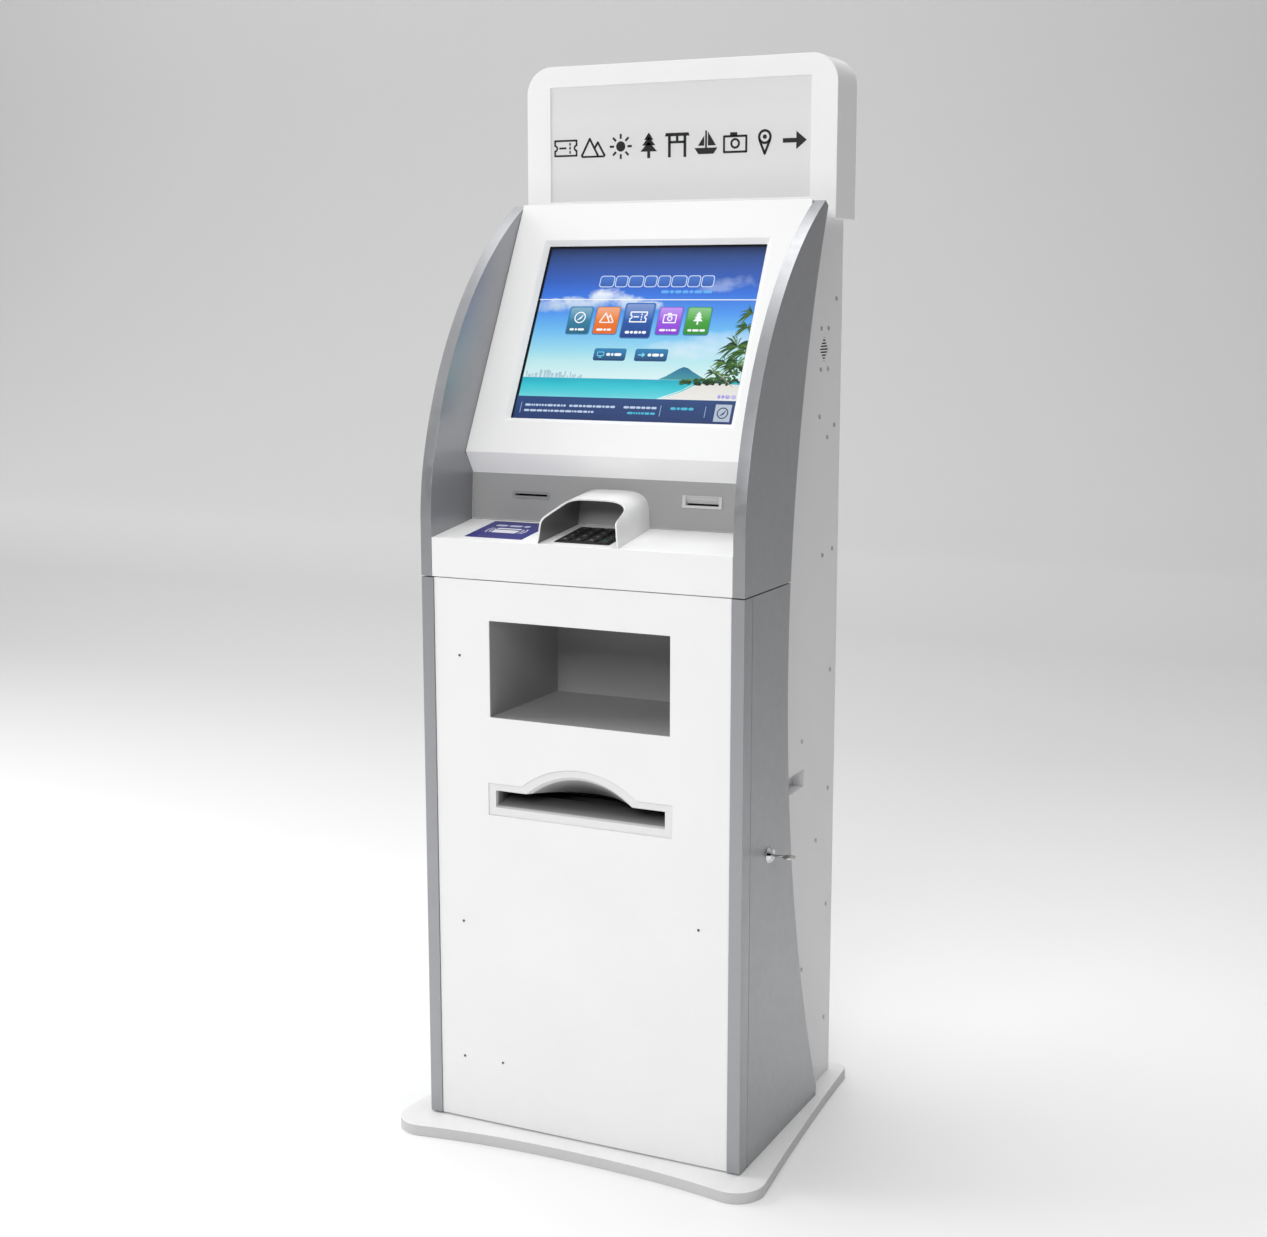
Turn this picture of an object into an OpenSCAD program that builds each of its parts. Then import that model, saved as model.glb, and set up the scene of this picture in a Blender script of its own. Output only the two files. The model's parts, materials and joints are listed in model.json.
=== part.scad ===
// Self-service ticket machine: steel cabinet on a floor plate, sloped touch screen, sign box on top.
// Units are millimetres. +Z is up and the front faces -Y.
// Inside the modules, y is the depth behind the front face of the door; placed() moves the result
// into the part's frame, whose origin is the centre of the floor plate's underside.

/* [Cabinet] */
// Width over the side panels
body_w = 540; // [530:1:550]
// Depth from the door's front face to the rear face
body_d = 444; // [440:1:450]
// Height of the cabinet, where the sign box stands
cabinet_h = 1441; // [1436:1:1446]
// Sheet thickness of the cabinet and of the folded panels
sheet_t = 2; // [1.5:0.5:2]
// Thickness of the silver side panels
side_t = 19; // [19:1:20]
// Height of the seam between the lower and the upper half
seam_z = 896; // [894:1:898]

/* [Floor plate] */
// Width of the floor plate
base_w = 628; // [620:1:640]
// Thickness of the floor plate
base_t = 18; // [16:1:20]
// How far the floor plate stands out in front of the door
base_front = 55; // [50:1:60]
// How far the floor plate reaches behind the door's front face
base_rear = 470; // [465:1:475]
// Radius of the anchor holes
anchor_r = 7; // [6:0.5:8]
// Anchor spacing across the machine
anchor_dx = 360; // [340:10:380]
// Anchor spacing from front to back
anchor_dy = 280; // [260:10:300]
// Radius of the cable entry
cable_r = 30; // [20:1:30]

/* [Screen and desk] */
// Depth of the desk
desk_d = 122.9; // [120:0.1:125]
// Height of the desk's front edge
desk_z = 956.9; // [955:0.1:960]
// Rise of the desk from front to back
desk_rise = 16.2; // [14:0.1:18]
// Tilt of the screen away from upright, in degrees
screen_tilt = 27.1; // [26:0.1:28]
// Length of the screen panel along its slope
screen_len = 434.7; // [430:0.1:436]
// Width of the visible screen
view_w = 375; // [370:1:380]
// Height of the visible screen
view_h = 299; // [295:1:302]

/* [Sign box] */
// Height of the whole machine
total_h = 1690; // [1680:1:1700]
// Depth of the sign box
sign_d = 88.7; // [85:0.1:92]
// Radius of the sign box's top corners
sign_r = 44; // [40:1:48]

/* [Door] */
// Width of the silver strip on each side of the door
strip_w = 21; // [20:1:22]
// Depth of the door
door_d = 30.2; // [29:0.1:30.4]
// Half width of the pickup bin
bin_half_w = 152; // [148:1:154]
// Depth of the pickup bin
bin_d = 225; // [200:1:226]

/* [Keypad] */
// Distance between key centres across the keypad
key_dx = 22.2; // [22:0.1:23]
// Distance between key centres along the desk
key_dy = 21.4; // [21:0.1:22]
// Key travel
key_travel = 2; // [1:0.1:2.5]

/* [Hidden] */

eps = 0.5;
half_w = body_w / 2;
inner_w = half_w - side_t;
front_y = (base_front - base_rear) / 2;
run_gap = 0.05;
seat = 0.02;

// Console profile in (depth, height), from the desk's front edge up to the top of the screen
desk_slope = atan2(desk_rise, desk_d);
wall_lean = 3.76;
wall_h = 74.8;
chin_in = 21.5;
chin_up = 33.6;
desk_front = [0, desk_z];
desk_back = [desk_d, desk_z + desk_rise];
wall_top = desk_back + wall_h * [sin(wall_lean), cos(wall_lean)];
screen_foot = wall_top + [-chin_in, chin_up];
screen_top = screen_foot + screen_len * [sin(screen_tilt), cos(screen_tilt)];
top_lip = screen_top + 25.7 * [cos(screen_tilt + 3.4), -sin(screen_tilt + 3.4)];

// Rear edge of the side panels: one long arc
rear_arc_y = 1954;
rear_arc_z = 757.3;
rear_arc_r = 1777.2;
arc_fn = 720;

// Front edge of the upper side panels: a long arc joined to the upright by a smaller one
front_arc_y = 610.4;
front_arc_z = 928.7;
front_arc_r = 616.4;
blend_r = 400;
blend_dz = sqrt(pow(front_arc_r - blend_r, 2) - pow(front_arc_y - blend_r, 2));
blend_z = front_arc_z + blend_dz;
function tangent_z(inset) = front_arc_z + blend_dz * (front_arc_r - inset) / (front_arc_r - blend_r);

// Floor plate outline
base_corner_r = 46;
base_corner_x = base_w / 2 - base_corner_r;
base_corner_y = base_corner_r - base_front;
base_corner_a = 101;
base_dip = 22;
base_rear_r = 18;
base_rear_half = 277;
anchor_mid_y = 230;
cable_y = 365;

// Front door
door_foot_z = base_t + 2.5;
door_top_z = seam_z - 1;
panel_y = 2;
panel_gap = 0.4;
hinge_x = -(half_w - 6);
hinge_y = 9;
pin_r = 3;
bin_z0 = 682.8;
bin_z1 = 833.4;
bin_t = 1.5;
outlet_half_w = 155.5;
outlet_z0 = 528.6;
outlet_z1 = 577.5;
outlet_peak_z = 613;
outlet_arch_r = 151.9;
mouth_half_w = 144;
mouth_z0 = 540.6;
mouth_z1 = 567.7;
ramp_y = 4;
ramp_top_z = 552;
scoop_r = 159;
scoop_drop = 37.5;
scoop_run = 50;
scoop_z = 605.5;
bezel_d = 55;

// Lock on the right side, and the catch that its cam holds
lock_y = 107;
lock_z = 490;
barrel_r = 9.5;
plug_r = 6;
cam_t = 3;
cam_len = 45;

// Rear door
rear_half_w = 220;
rear_z0 = 61.5;
rear_z1 = 1398.5;
rear_gap = 1.5;
rear_pin_x = 213.5;
rear_pin_y = body_d - 6;
rear_lock_x = -198;
rear_lock_z = 720;
fan_z = 1250;
fan_w = 120;
fan_d = 25;
grille_pitch = 13;

// Shelves
shelf_mid_z = 897;
shelf_printer_z = 468;
shelf_low_z = 180;

// Printers
receipt_x = 148;
receipt_w = 58;
receipt_roll_r = 28;
receipt_roll_y = 226;
receipt_roll_z = 1020;
receipt_platen_r = 6;
receipt_platen_y = 178;
receipt_platen_z = 1009;
ticket_w = 210;
ticket_roll_r = 55;
ticket_roll_y = 322;
ticket_roll_z = 545;
ticket_platen_r = 9;
ticket_platen_y = 112;
ticket_platen_z = 545;
axle_r = 6;
shaft_r = 3;

// Keypad
pad_mid_s = 61;
pad_half = 44.3;
pad_s0 = 17.5;
pad_s1 = 104.5;
pad_rim_t = 1.2;
key_w = 18.6;
key_l = 17.6;
key_top = 3.2;
key_bottom = -6;
key_clear = 0.4;

// Speakers
speaker_y = 365;
speaker_z = 1240;
slot_pitch = 4.65;
slot_h = 2.2;
slot_widths = [5, 15, 22, 32, 38, 32, 21, 12, 5];

// Screws on each side of the cabinet, as [depth, height]
screw_column = [for (i = [0:6]) [415, 120 + 199.7 * i]];
screw_field = [[346, 1135], [382.5, 1101], [370, 913], [290, 624.6], [361, 443], [304, 240]];
speaker_screws = [[348.8, 1208.7], [381.6, 1208.7], [348.8, 1272], [381.6, 1272]];
side_screws = concat(screw_column, screw_field, speaker_screws);
screw_r = 2;
screw_head_r = 3.4;

// ---------- helpers ----------

function unit(v) = v / norm(v);
function right_of(v) = [unit(v)[1], -unit(v)[0]];
function mitre(a, b, t) = t * (a + b) / (1 + a * b);
function inset_point(p, i, t) =
    let (last = len(p) - 1)
    i == 0 ? p[0] + t * right_of(p[1] - p[0]) :
    i == last ? p[last] + t * right_of(p[last] - p[last - 1]) :
    p[i] + mitre(right_of(p[i] - p[i - 1]), right_of(p[i + 1] - p[i]), t);
function inset_path(p, t) = [for (i = [0:len(p) - 1]) inset_point(p, i, t)];
function backwards(p) = [for (i = [len(p) - 1:-1:0]) p[i]];
function arc_points(c, r, a0, a1, n) =
    [for (i = [0:n]) let (a = a0 + (a1 - a0) * i / n) c + r * [cos(a), sin(a)]];

// Moves a piece from door depths into the part's frame
module placed() {
    translate([0, front_y, 0]) children();
}

// A (depth, height) profile carried across the machine from x0 to x1
module across(x0, x1) {
    translate([x0, 0, 0]) rotate([90, 0, 90]) linear_extrude(x1 - x0) children();
}

// An (x, height) profile carried from depth y0 to y1
module through(y0, y1) {
    translate([0, y1, 0]) rotate([90, 0, 0]) linear_extrude(y1 - y0) children();
}

module box(x0, x1, y0, y1, z0, z1) {
    translate([x0, y0, z0]) cube([x1 - x0, y1 - y0, z1 - z0]);
}

module rod_x(x0, x1, y, z, r) {
    translate([x0, y, z]) rotate([0, 90, 0]) cylinder(h = x1 - x0, r = r, $fn = 64);
}

module rod_y(y0, y1, x, z, r) {
    translate([x, y1, z]) rotate([90, 0, 0]) cylinder(h = y1 - y0, r = r, $fn = 64);
}

module rod_z(z0, z1, x, y, r) {
    translate([x, y, z0]) cylinder(h = z1 - z0, r = r, $fn = 64);
}

module both_sides() {
    children();
    mirror([1, 0, 0]) children();
}

// Work planes: x across, y up the slope, z out of the surface
module on_desk() {
    translate([0, desk_front[0], desk_front[1]]) rotate([desk_slope, 0, 0]) children();
}

module on_wall() {
    translate([0, desk_back[0], desk_back[1]]) rotate([90 - wall_lean, 0, 0]) children();
}

module on_screen() {
    translate([0, screen_foot[0], screen_foot[1]]) rotate([90 - screen_tilt, 0, 0]) children();
}

module folded_sheet(path, half) {
    across(-half, half) polygon(concat(path, backwards(inset_path(path, sheet_t))));
}

module rounded_rect(x0, x1, y0, y1, r) {
    translate([x0 + r, y0]) square([x1 - x0 - 2 * r, y1 - y0]);
    translate([x0, y0 + r]) square([x1 - x0, y1 - y0 - 2 * r]);
    for (x = [x0 + r, x1 - r], y = [y0 + r, y1 - r]) translate([x, y]) circle(r, $fn = 32);
}

// ---------- floor plate ----------

function base_front_curve(x, reach) =
    -(base_front - base_dip) - (base_dip - 0.8) * pow(x / reach, 2.3);
function base_side(t) =
    [base_w / 2 - (base_w / 2 - base_rear_half) * t - 12 * t * (1 - t),
     base_corner_y + t * (base_rear - base_rear_r - base_corner_y)];

base_reach = base_corner_x + base_corner_r * cos(base_corner_a);
base_half = concat(
    [for (i = [0:10]) let (x = base_reach * i / 11) [x, base_front_curve(x, base_reach)]],
    arc_points([base_corner_x, base_corner_y], base_corner_r, -base_corner_a, 0, 20),
    [for (i = [1:9]) base_side(i / 10)],
    arc_points([base_rear_half - base_rear_r, base_rear - base_rear_r], base_rear_r, 0, 90, 10)
);

module at_anchors() {
    for (sx = [-1, 1], sy = [-1, 1])
        translate([sx * anchor_dx / 2, anchor_mid_y + sy * anchor_dy / 2, 0]) children();
}

// Ribbed hollow in the plate's top, hidden inside the cabinet
module base_hollow() {
    difference() {
        box(-214, 214, 72, 406, 4, base_t + 1);
        at_anchors() rod_z(0, base_t + 2, 0, 0, anchor_r + 9);
        rod_z(0, base_t + 2, 0, cable_y, cable_r + 8);
        box(-3, 3, 70, cable_y - cable_r - 4, 0, base_t + 2);
        box(-220, 220, 227, 233, 0, base_t + 2);
    }
}

module base_plate() {
    color("white") placed() difference() {
        linear_extrude(base_t)
            polygon(concat(base_half, [for (p = backwards(base_half)) if (p[0] > 0) [-p[0], p[1]]]));
        base_hollow();
        at_anchors() rod_z(-1, base_t + 1, 0, 0, anchor_r);
        rod_z(-1, base_t + 1, 0, cable_y, cable_r);
        rod_z(base_t - 10, base_t + 1, hinge_x, hinge_y, pin_r);
    }
}

// ---------- cabinet ----------

console_path = [
    [sheet_t + eps, seam_z + 4], desk_front + [sheet_t + eps, -sheet_t - eps],
    desk_back + [sheet_t + eps, -sheet_t - eps], wall_top + [sheet_t + eps, 0],
    screen_foot + [sheet_t + eps, 0], screen_top + [sheet_t + eps, -4 * sheet_t],
    [top_lip[0] - sheet_t - eps, cabinet_h]
];

module shell_wall() {
    across(inner_w - sheet_t, inner_w)
        polygon(concat([[36, base_t], [36, seam_z + 4]], console_path,
                       [[body_d, cabinet_h], [body_d, base_t]]));
}

module speaker_slots() {
    for (i = [0:len(slot_widths) - 1])
        box(inner_w - 5, inner_w + 5, speaker_y - slot_widths[i] / 2, speaker_y + slot_widths[i] / 2,
            speaker_z + (4 - i) * slot_pitch - slot_h / 2, speaker_z + (4 - i) * slot_pitch + slot_h / 2);
}

recess = [182, 303, 548, 577];
recess_d = 22;

module shell_side() {
    difference() {
        shell_wall();
        speaker_slots();
        for (p = side_screws) rod_x(inner_w - 5, inner_w + 5, p[0], p[1], screw_r);
        box(inner_w - 5, inner_w + 5, recess[0], recess[1], recess[2], recess[3]);
    }
    difference() {
        box(inner_w - recess_d, inner_w - sheet_t, recess[0] - 2, recess[1] + 2, recess[2] - 2, recess[3] + 2);
        box(inner_w - recess_d + 2, inner_w, recess[0], recess[1], recess[2], recess[3]);
    }
}

module shelf(z, y0, y1) {
    box(-inner_w + sheet_t, inner_w - sheet_t, y0, y1, z, z + sheet_t);
    box(-inner_w + sheet_t, inner_w - sheet_t, y0, y0 + sheet_t, z - 14, z);
}

module rear_frame() {
    opening_half = rear_half_w + 2;
    difference() {
        box(-inner_w + sheet_t, inner_w - sheet_t, body_d - sheet_t, body_d, base_t, cabinet_h - sheet_t);
        box(-opening_half, opening_half, body_d - 5, body_d + 1, rear_z0 - rear_gap, rear_z1 + rear_gap);
    }
    difference() {
        union() {
            both_sides() box(opening_half, opening_half + sheet_t, body_d - 26, body_d - sheet_t,
                             rear_z0 - rear_gap, rear_z1 + rear_gap);
            for (z = [rear_z0 - rear_gap - 4, rear_z1 + rear_gap])
                box(-opening_half - sheet_t, opening_half + sheet_t, body_d - 26, body_d - sheet_t, z, z + 4);
        }
        rod_z(rear_z0 - 10, rear_z1 + 10, rear_pin_x, rear_pin_y, pin_r);
    }
}

module cabinet_shell() {
    color("gainsboro") placed() {
        difference() {
            union() {
                both_sides() shell_side();
                box(-inner_w + sheet_t, inner_w - sheet_t, top_lip[0] - sheet_t, body_d - sheet_t,
                    cabinet_h - sheet_t, cabinet_h);
                box(-inner_w, inner_w, body_d - sheet_t - 1, body_d, cabinet_h - sheet_t, cabinet_h);
                difference() {
                    box(-inner_w + sheet_t, inner_w - sheet_t, 40, body_d - sheet_t, base_t, base_t + sheet_t);
                    box(-inner_w + 32, inner_w - 32, 68, body_d - 34, base_t - 1, base_t + 5);
                }
                rear_frame();
                shelf(shelf_mid_z, 40, 300);
                shelf(shelf_printer_z, 70, 405);
                shelf(shelf_low_z, 70, 405);
            }
            rod_x(200, 260, lock_y, lock_z, barrel_r);
        }
    }
}

// ---------- silver side panels ----------

module rear_arc(inset) {
    translate([rear_arc_y, rear_arc_z]) circle(rear_arc_r + inset, $fn = arc_fn);
}

module lower_outline(inset) {
    y0 = door_d + 1.5 + inset;
    difference() {
        translate([y0, base_t + inset]) square([330 - inset - y0, seam_z - 1 - base_t - 2 * inset]);
        rear_arc(inset);
    }
}

module lower_side_panel(lock) {
    difference() {
        across(inner_w, half_w) lower_outline(0);
        difference() {
            across(inner_w - 1, half_w - sheet_t) lower_outline(sheet_t);
            if (lock) rod_x(inner_w - 2, half_w, lock_y, lock_z, 18);
        }
        if (lock) rod_x(inner_w - 2, half_w + 2, lock_y, lock_z, barrel_r);
    }
}

module side_panel_lower_left() {
    color("dimgray") placed() mirror([1, 0, 0]) lower_side_panel(false);
}

module side_panel_lower_right() {
    color("dimgray") placed() lower_side_panel(true);
}

// Region behind the curved front edge, or behind a line inset from it
module front_region(inset) {
    bend = tangent_z(inset) - blend_z;
    translate([inset, seam_z]) square([500, blend_z - seam_z]);
    intersection() {
        translate([0, blend_z]) square([500, bend]);
        union() {
            translate([blend_r, blend_z]) circle(blend_r - inset, $fn = arc_fn);
            translate([blend_r, blend_z]) square([500, bend]);
        }
    }
    intersection() {
        translate([0, tangent_z(inset)]) square([500, 500]);
        translate([front_arc_y, front_arc_z]) circle(front_arc_r - inset, $fn = arc_fn);
    }
}

module upper_outline(inset) {
    difference() {
        intersection() {
            front_region(inset);
            translate([-1, seam_z + 0.6 + inset]) square([500, 700]);
        }
        rear_arc(inset);
        translate(screen_top + [2, -0.8]) rotate(-screen_tilt - 3.4) translate([-100, -inset]) square([400, 400]);
    }
}

// A folded box: open on its inside behind the screen, closed in front of it
module upper_side_panel() {
    difference() {
        across(inner_w, half_w) upper_outline(0);
        across(inner_w - 1, half_w - sheet_t) intersection() {
            upper_outline(6);
            polygon([[148, seam_z + 6], [148, 1058], [268, 1340], [292, 1390], [420, 1390], [420, seam_z + 6]]);
        }
        across(inner_w + sheet_t, half_w - sheet_t) intersection() {
            upper_outline(3);
            polygon([[0, seam_z + 20], [152, seam_z + 20], [152, 1058], [272, 1340], [292, 1386], [0, 1386]]);
        }
    }
}

module side_panel_upper_left() {
    color("silver") placed() difference() {
        mirror([1, 0, 0]) upper_side_panel();
        rod_z(seam_z - 1, seam_z + 16, hinge_x, hinge_y, pin_r);
    }
}

module side_panel_upper_right() {
    color("silver") placed() upper_side_panel();
}

// ---------- screen, desk and niche ----------

view_s0 = 62.6;
bevel = 8;
bevel_d = 7.2;
screen_path = [
    desk_back + 0.8 * [sin(wall_lean), cos(wall_lean)], wall_top, screen_foot, screen_top,
    top_lip, [top_lip[0], cabinet_h + 0.2]
];
card_x0 = -177;
card_x1 = -111.5;
receipt_x0 = 115.5;
receipt_x1 = 180.5;

// The bevelled opening: two crossed wedges meet in a straight-sided funnel
module view_funnel() {
    intersection() {
        across(-view_w, view_w) polygon([
            [view_s0 - bevel - 0.6, 0.5], [view_s0, -bevel_d], [view_s0, -20],
            [view_s0 + view_h, -20], [view_s0 + view_h, -bevel_d], [view_s0 + view_h + bevel + 0.6, 0.5]
        ]);
        through(0, screen_len) polygon([
            [-view_w / 2 - bevel - 0.6, 0.5], [-view_w / 2, -bevel_d], [-view_w / 2, -20],
            [view_w / 2, -20], [view_w / 2, -bevel_d], [view_w / 2 + bevel + 0.6, 0.5]
        ]);
    }
}

module screen_panel() {
    color("white") placed() difference() {
        union() {
            folded_sheet(screen_path, inner_w - 0.3);
            on_screen() box(-view_w / 2 - 14, view_w / 2 + 14, view_s0 - 14, view_s0 + view_h + 14, -bevel_d, -1);
        }
        on_screen() view_funnel();
        on_wall() box(card_x0 + 2, card_x1 - 2, 38, 45.6, -10, 5);
        on_wall() box(receipt_x0 + 2, receipt_x1 - 2, 36.5, 51.5, -10, 5);
    }
}

desk_path = [
    [26, seam_z + 0.6], [0, seam_z + 0.6], desk_front,
    desk_back + 1.9 * [cos(desk_slope), sin(desk_slope)]
];

module desk_panel() {
    color("white") placed() difference() {
        folded_sheet(desk_path, inner_w - 0.3);
        on_desk() box(-pad_half - 0.3, pad_half + 0.3, pad_s0 - 0.3, pad_s1 + 0.3, -10, 5);
        on_desk() box(-195, -109, 24, 108, -10, 5);
    }
}

glass_t = 3;
glass_gap = 1.2;

module touch_glass() {
    color("black") placed() on_screen()
        box(-view_w / 2 - 10, view_w / 2 + 10, view_s0 - 10, view_s0 + view_h + 10, -bevel_d - glass_t, -bevel_d);
}

module lcd_panel() {
    color("midnightblue") placed() on_screen() {
        box(-198, 198, 50, 374, -bevel_d - glass_t - 13, -bevel_d - glass_t - glass_gap);
    }
}

module monitor_case() {
    n0 = -bevel_d - glass_t;
    color("darkslategray") placed() on_screen() difference() {
        union() {
            box(-204, 204, 44, 380, n0 - 50, n0);
            for (s = [100, 300]) box(-inner_w + 2.2, inner_w - 2.2, s, s + 30, n0 - 20, n0 - 16);
        }
        box(-201, 201, 47, 377, n0 - 47, n0 + 1);
        for (i = [-6:6]) box(i * 24 - 4, i * 24 + 4, 130, 290, n0 - 60, n0 - 40);
    }
}

module card_bezel() {
    color("gray") placed() on_wall() difference() {
        union() {
            translate([0, 0, seat]) linear_extrude(1.5) rounded_rect(card_x0, card_x1, 36.3, 47.3, 3);
            box(card_x0 + 2.3, card_x1 - 2.3, 38.3, 45.3, -14, 1);
        }
        box(card_x0 + 5, card_x1 - 3.5, 40.4, 43.5, -20, 5);
    }
}

module card_reader() {
    color("dimgray") placed() on_wall() difference() {
        union() {
            box(-186, -102, 26, 60, -125, -15);
            box(-172, -116, 60, 66, -100, -60);
        }
        box(card_x0 + 5, card_x1 - 3.5, 40.4, 43.5, -118, -10);
    }
}

module receipt_bezel() {
    color("lightgray") placed() on_wall() difference() {
        union() {
            translate([0, 0, seat]) linear_extrude(1.5)
                rounded_rect(receipt_x0, receipt_x1, 34.5, 53.5, 1.5);
            box(receipt_x0 + 2.3, receipt_x1 - 2.3, 36.8, 51.2, -9, 1);
        }
        across(receipt_x0 + 5.5, receipt_x1 - 5) polygon([
            [38.5, 3], [38.5, -6], [43, -6], [47, -2.5], [52, 0.4], [52, 3]
        ]);
        box(receipt_x0 + 5.5, receipt_x1 - 5, 38.5, 41.5, -20, 0);
    }
}

module receipt_printer() {
    x0 = receipt_x - receipt_w / 2 - 12;
    x1 = receipt_x + receipt_w / 2 + 12;
    color("dimgray") placed() difference() {
        union() {
            box(x0, x1, 140, 262, 982, 985);
            for (x = [x0, x1 - 4]) box(x, x + 4, 140, 262, 985, 1030);
            box(x0 + 4, x1 - 4, 140, 168, 985, 1030);
            rod_x(x0 + 4, x1 - 4, receipt_roll_y, receipt_roll_z, axle_r);
        }
        box(x0 + 10, x1 - 10, 139, 169, 1014, 1018);
        rod_x(x0 - 1, x1 + 1, receipt_platen_y, receipt_platen_z, shaft_r + run_gap);
    }
}

module receipt_platen() {
    half = receipt_w / 2;
    color("black") placed() {
        rod_x(receipt_x - half, receipt_x + half, receipt_platen_y, receipt_platen_z, receipt_platen_r);
        rod_x(receipt_x - half - 14, receipt_x + half + 14, receipt_platen_y, receipt_platen_z, shaft_r);
        rod_x(receipt_x + half + 13, receipt_x + half + 17, receipt_platen_y, receipt_platen_z, 8);
    }
}

module paper_roll(x, w, y, z, r) {
    difference() {
        rod_x(x - w / 2, x + w / 2, y, z, r);
        rod_x(x - w, x + w, y, z, axle_r + run_gap);
    }
}

module receipt_roll() {
    color("white") placed() paper_roll(receipt_x, receipt_w, receipt_roll_y, receipt_roll_z, receipt_roll_r);
}

// ---------- keypad ----------

function key_x(column) = (column - 1.5) * key_dx;
function key_s(row) = pad_mid_s + (1.5 - row) * key_dy;

module keypad_frame() {
    color("black") placed() on_desk() difference() {
        union() {
            translate([0, 0, seat]) linear_extrude(pad_rim_t)
                rounded_rect(-pad_half - 1.7, pad_half + 1.7, pad_s0 - 2, pad_s1 + 2, 2);
            box(-pad_half, pad_half, pad_s0, pad_s1, -10, pad_rim_t);
            box(-pad_half - 8, pad_half + 8, pad_s0 - 6, pad_s1 + 6, -30, -sheet_t - seat);
        }
        for (column = [0:3], row = [0:3])
            translate([key_x(column), key_s(row), -10])
                linear_extrude(20) square([key_w + 2 * key_clear, key_l + 2 * key_clear], center = true);
    }
}

// One key: a stem that slides in its pocket and a narrower finger pad on top
module keypad_key(column, row) {
    color("black") placed() on_desk() translate([key_x(column), key_s(row), 0]) {
        translate([0, 0, key_bottom]) linear_extrude(key_top - 1 - key_bottom) square([key_w, key_l], center = true);
        translate([0, 0, key_top - 1]) linear_extrude(1) square([key_w - 2, key_l - 2], center = true);
    }
}

hood_h = 55.5;
hood_half = 66;
hood_wall = 2.6;
function hood_edge(a, h, n) =
    [for (i = [0:n]) let (q = 180 * i / n, c = cos(q), s = sin(q))
        [a * sign(c) * sqrt(abs(c)), h * sqrt(abs(s))]];

// Arched hood: a squared arch carried back to the niche wall, with the swept front cut off
module keypad_hood() {
    rear_s = desk_d / cos(desk_slope) - 0.8;
    rear_shift = hood_h * tan(desk_slope + wall_lean);
    color("white") placed() on_desk() intersection() {
        difference() {
            through(1.4, rear_s + 20) polygon(hood_edge(hood_half + 2.5, hood_h, 40));
            through(-1, rear_s + 30)
                polygon(concat([[hood_half, -1]], hood_edge(hood_half + 2.5 - hood_wall, hood_h - hood_wall, 40),
                               [[-hood_half, -1]]));
        }
        across(-80, 80) polygon([
            [2, 0], [10, 34.4], [16, 37.5], [59, 45.6], [65, 48.8], [69, 60],
            [rear_s + rear_shift * 60 / hood_h, 60], [rear_s, 0]
        ]);
    }
}

module contactless_reader() {
    color("dimgray") placed() on_desk() {
        box(-194.5, -109.5, 24.5, 107.5, -24, -seat);
        box(-202, -102, 17, 114, -sheet_t - 4, -sheet_t - seat);
    }
}

module reader_label() {
    color("navy") placed() on_desk() linear_extrude(0.6) rounded_rect(-202, -102, 17, 115, 1.5);
}

// ---------- sign box ----------

sign_y1 = body_d - 1;
sign_y0 = sign_y1 - sign_d;

module sign_outline(inset) {
    r = sign_r - inset;
    x = half_w - inset;
    z0 = cabinet_h + inset;
    z1 = total_h - inset;
    translate([-x, z0]) square([2 * x, z1 - r - z0]);
    translate([-x + r, z0]) square([2 * (x - r), z1 - z0]);
    for (sx = [-1, 1]) translate([sx * (x - r), z1 - r]) circle(r, $fn = 96);
}

module sign_box() {
    color("white") placed() difference() {
        through(sign_y0, sign_y1) sign_outline(0);
        through(sign_y0 + sheet_t, sign_y1 - sheet_t) sign_outline(sheet_t);
        box(-227, 227, sign_y0 - 1, sign_y0 + 5, 1474, 1657);
    }
}

module sign_face() {
    color("whitesmoke") placed() box(-238, 238, sign_y0 + sheet_t, sign_y0 + sheet_t + 3, 1463, 1668);
}

module sign_lamps() {
    color("ivory") placed() for (z = [1505, 1565, 1625])
        box(-215, 215, sign_y1 - sheet_t - 9, sign_y1 - sheet_t, z - 8, z + 8);
}

// ---------- front door ----------

module outlet_outline(margin) {
    translate([-outlet_half_w - margin, outlet_z0 - margin])
        square([2 * (outlet_half_w + margin), outlet_z1 - outlet_z0 + 2 * margin]);
    intersection() {
        translate([0, outlet_peak_z - outlet_arch_r]) circle(outlet_arch_r + margin, $fn = 180);
        translate([-150, outlet_z1 - 10]) square([300, 100]);
    }
}

module door_panel() {
    x = half_w - strip_w - panel_gap;
    catch_y = lock_y + 12.5;
    color("white") placed() difference() {
        union() {
            box(-x, x, panel_y, panel_y + sheet_t, door_foot_z, door_top_z);
            difference() {
                box(-x, x, panel_y, door_d - 4, door_foot_z, door_top_z);
                box(-x + sheet_t, x - sheet_t, 0, door_d, door_foot_z + sheet_t, door_top_z - sheet_t);
            }
            box(219, 222, panel_y + 1, catch_y, 506, 536);
            box(222, 234, catch_y - 3, catch_y, 506, 536);
            box(219, x - sheet_t, panel_y + 1, panel_y + 5, 500, 542);
        }
        box(-bin_half_w, bin_half_w, -1, 10, bin_z0, bin_z1);
        through(-1, 10) outlet_outline(0.9);
    }
}

module door_strip() {
    difference() {
        linear_extrude(door_top_z - door_foot_z) polygon([
            [half_w - strip_w, 0], [half_w, 0], [half_w, door_d], [half_w - 12.5, door_d],
            [half_w - 12.5, 14], [half_w - strip_w, 14]
        ]);
        for (z = [-1, door_top_z - door_foot_z - 22])
            rod_z(z, z + 23, -hinge_x, hinge_y, pin_r + run_gap);
    }
}

module door_strips() {
    color("silver") placed() translate([0, 0, door_foot_z]) both_sides() door_strip();
}

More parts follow.
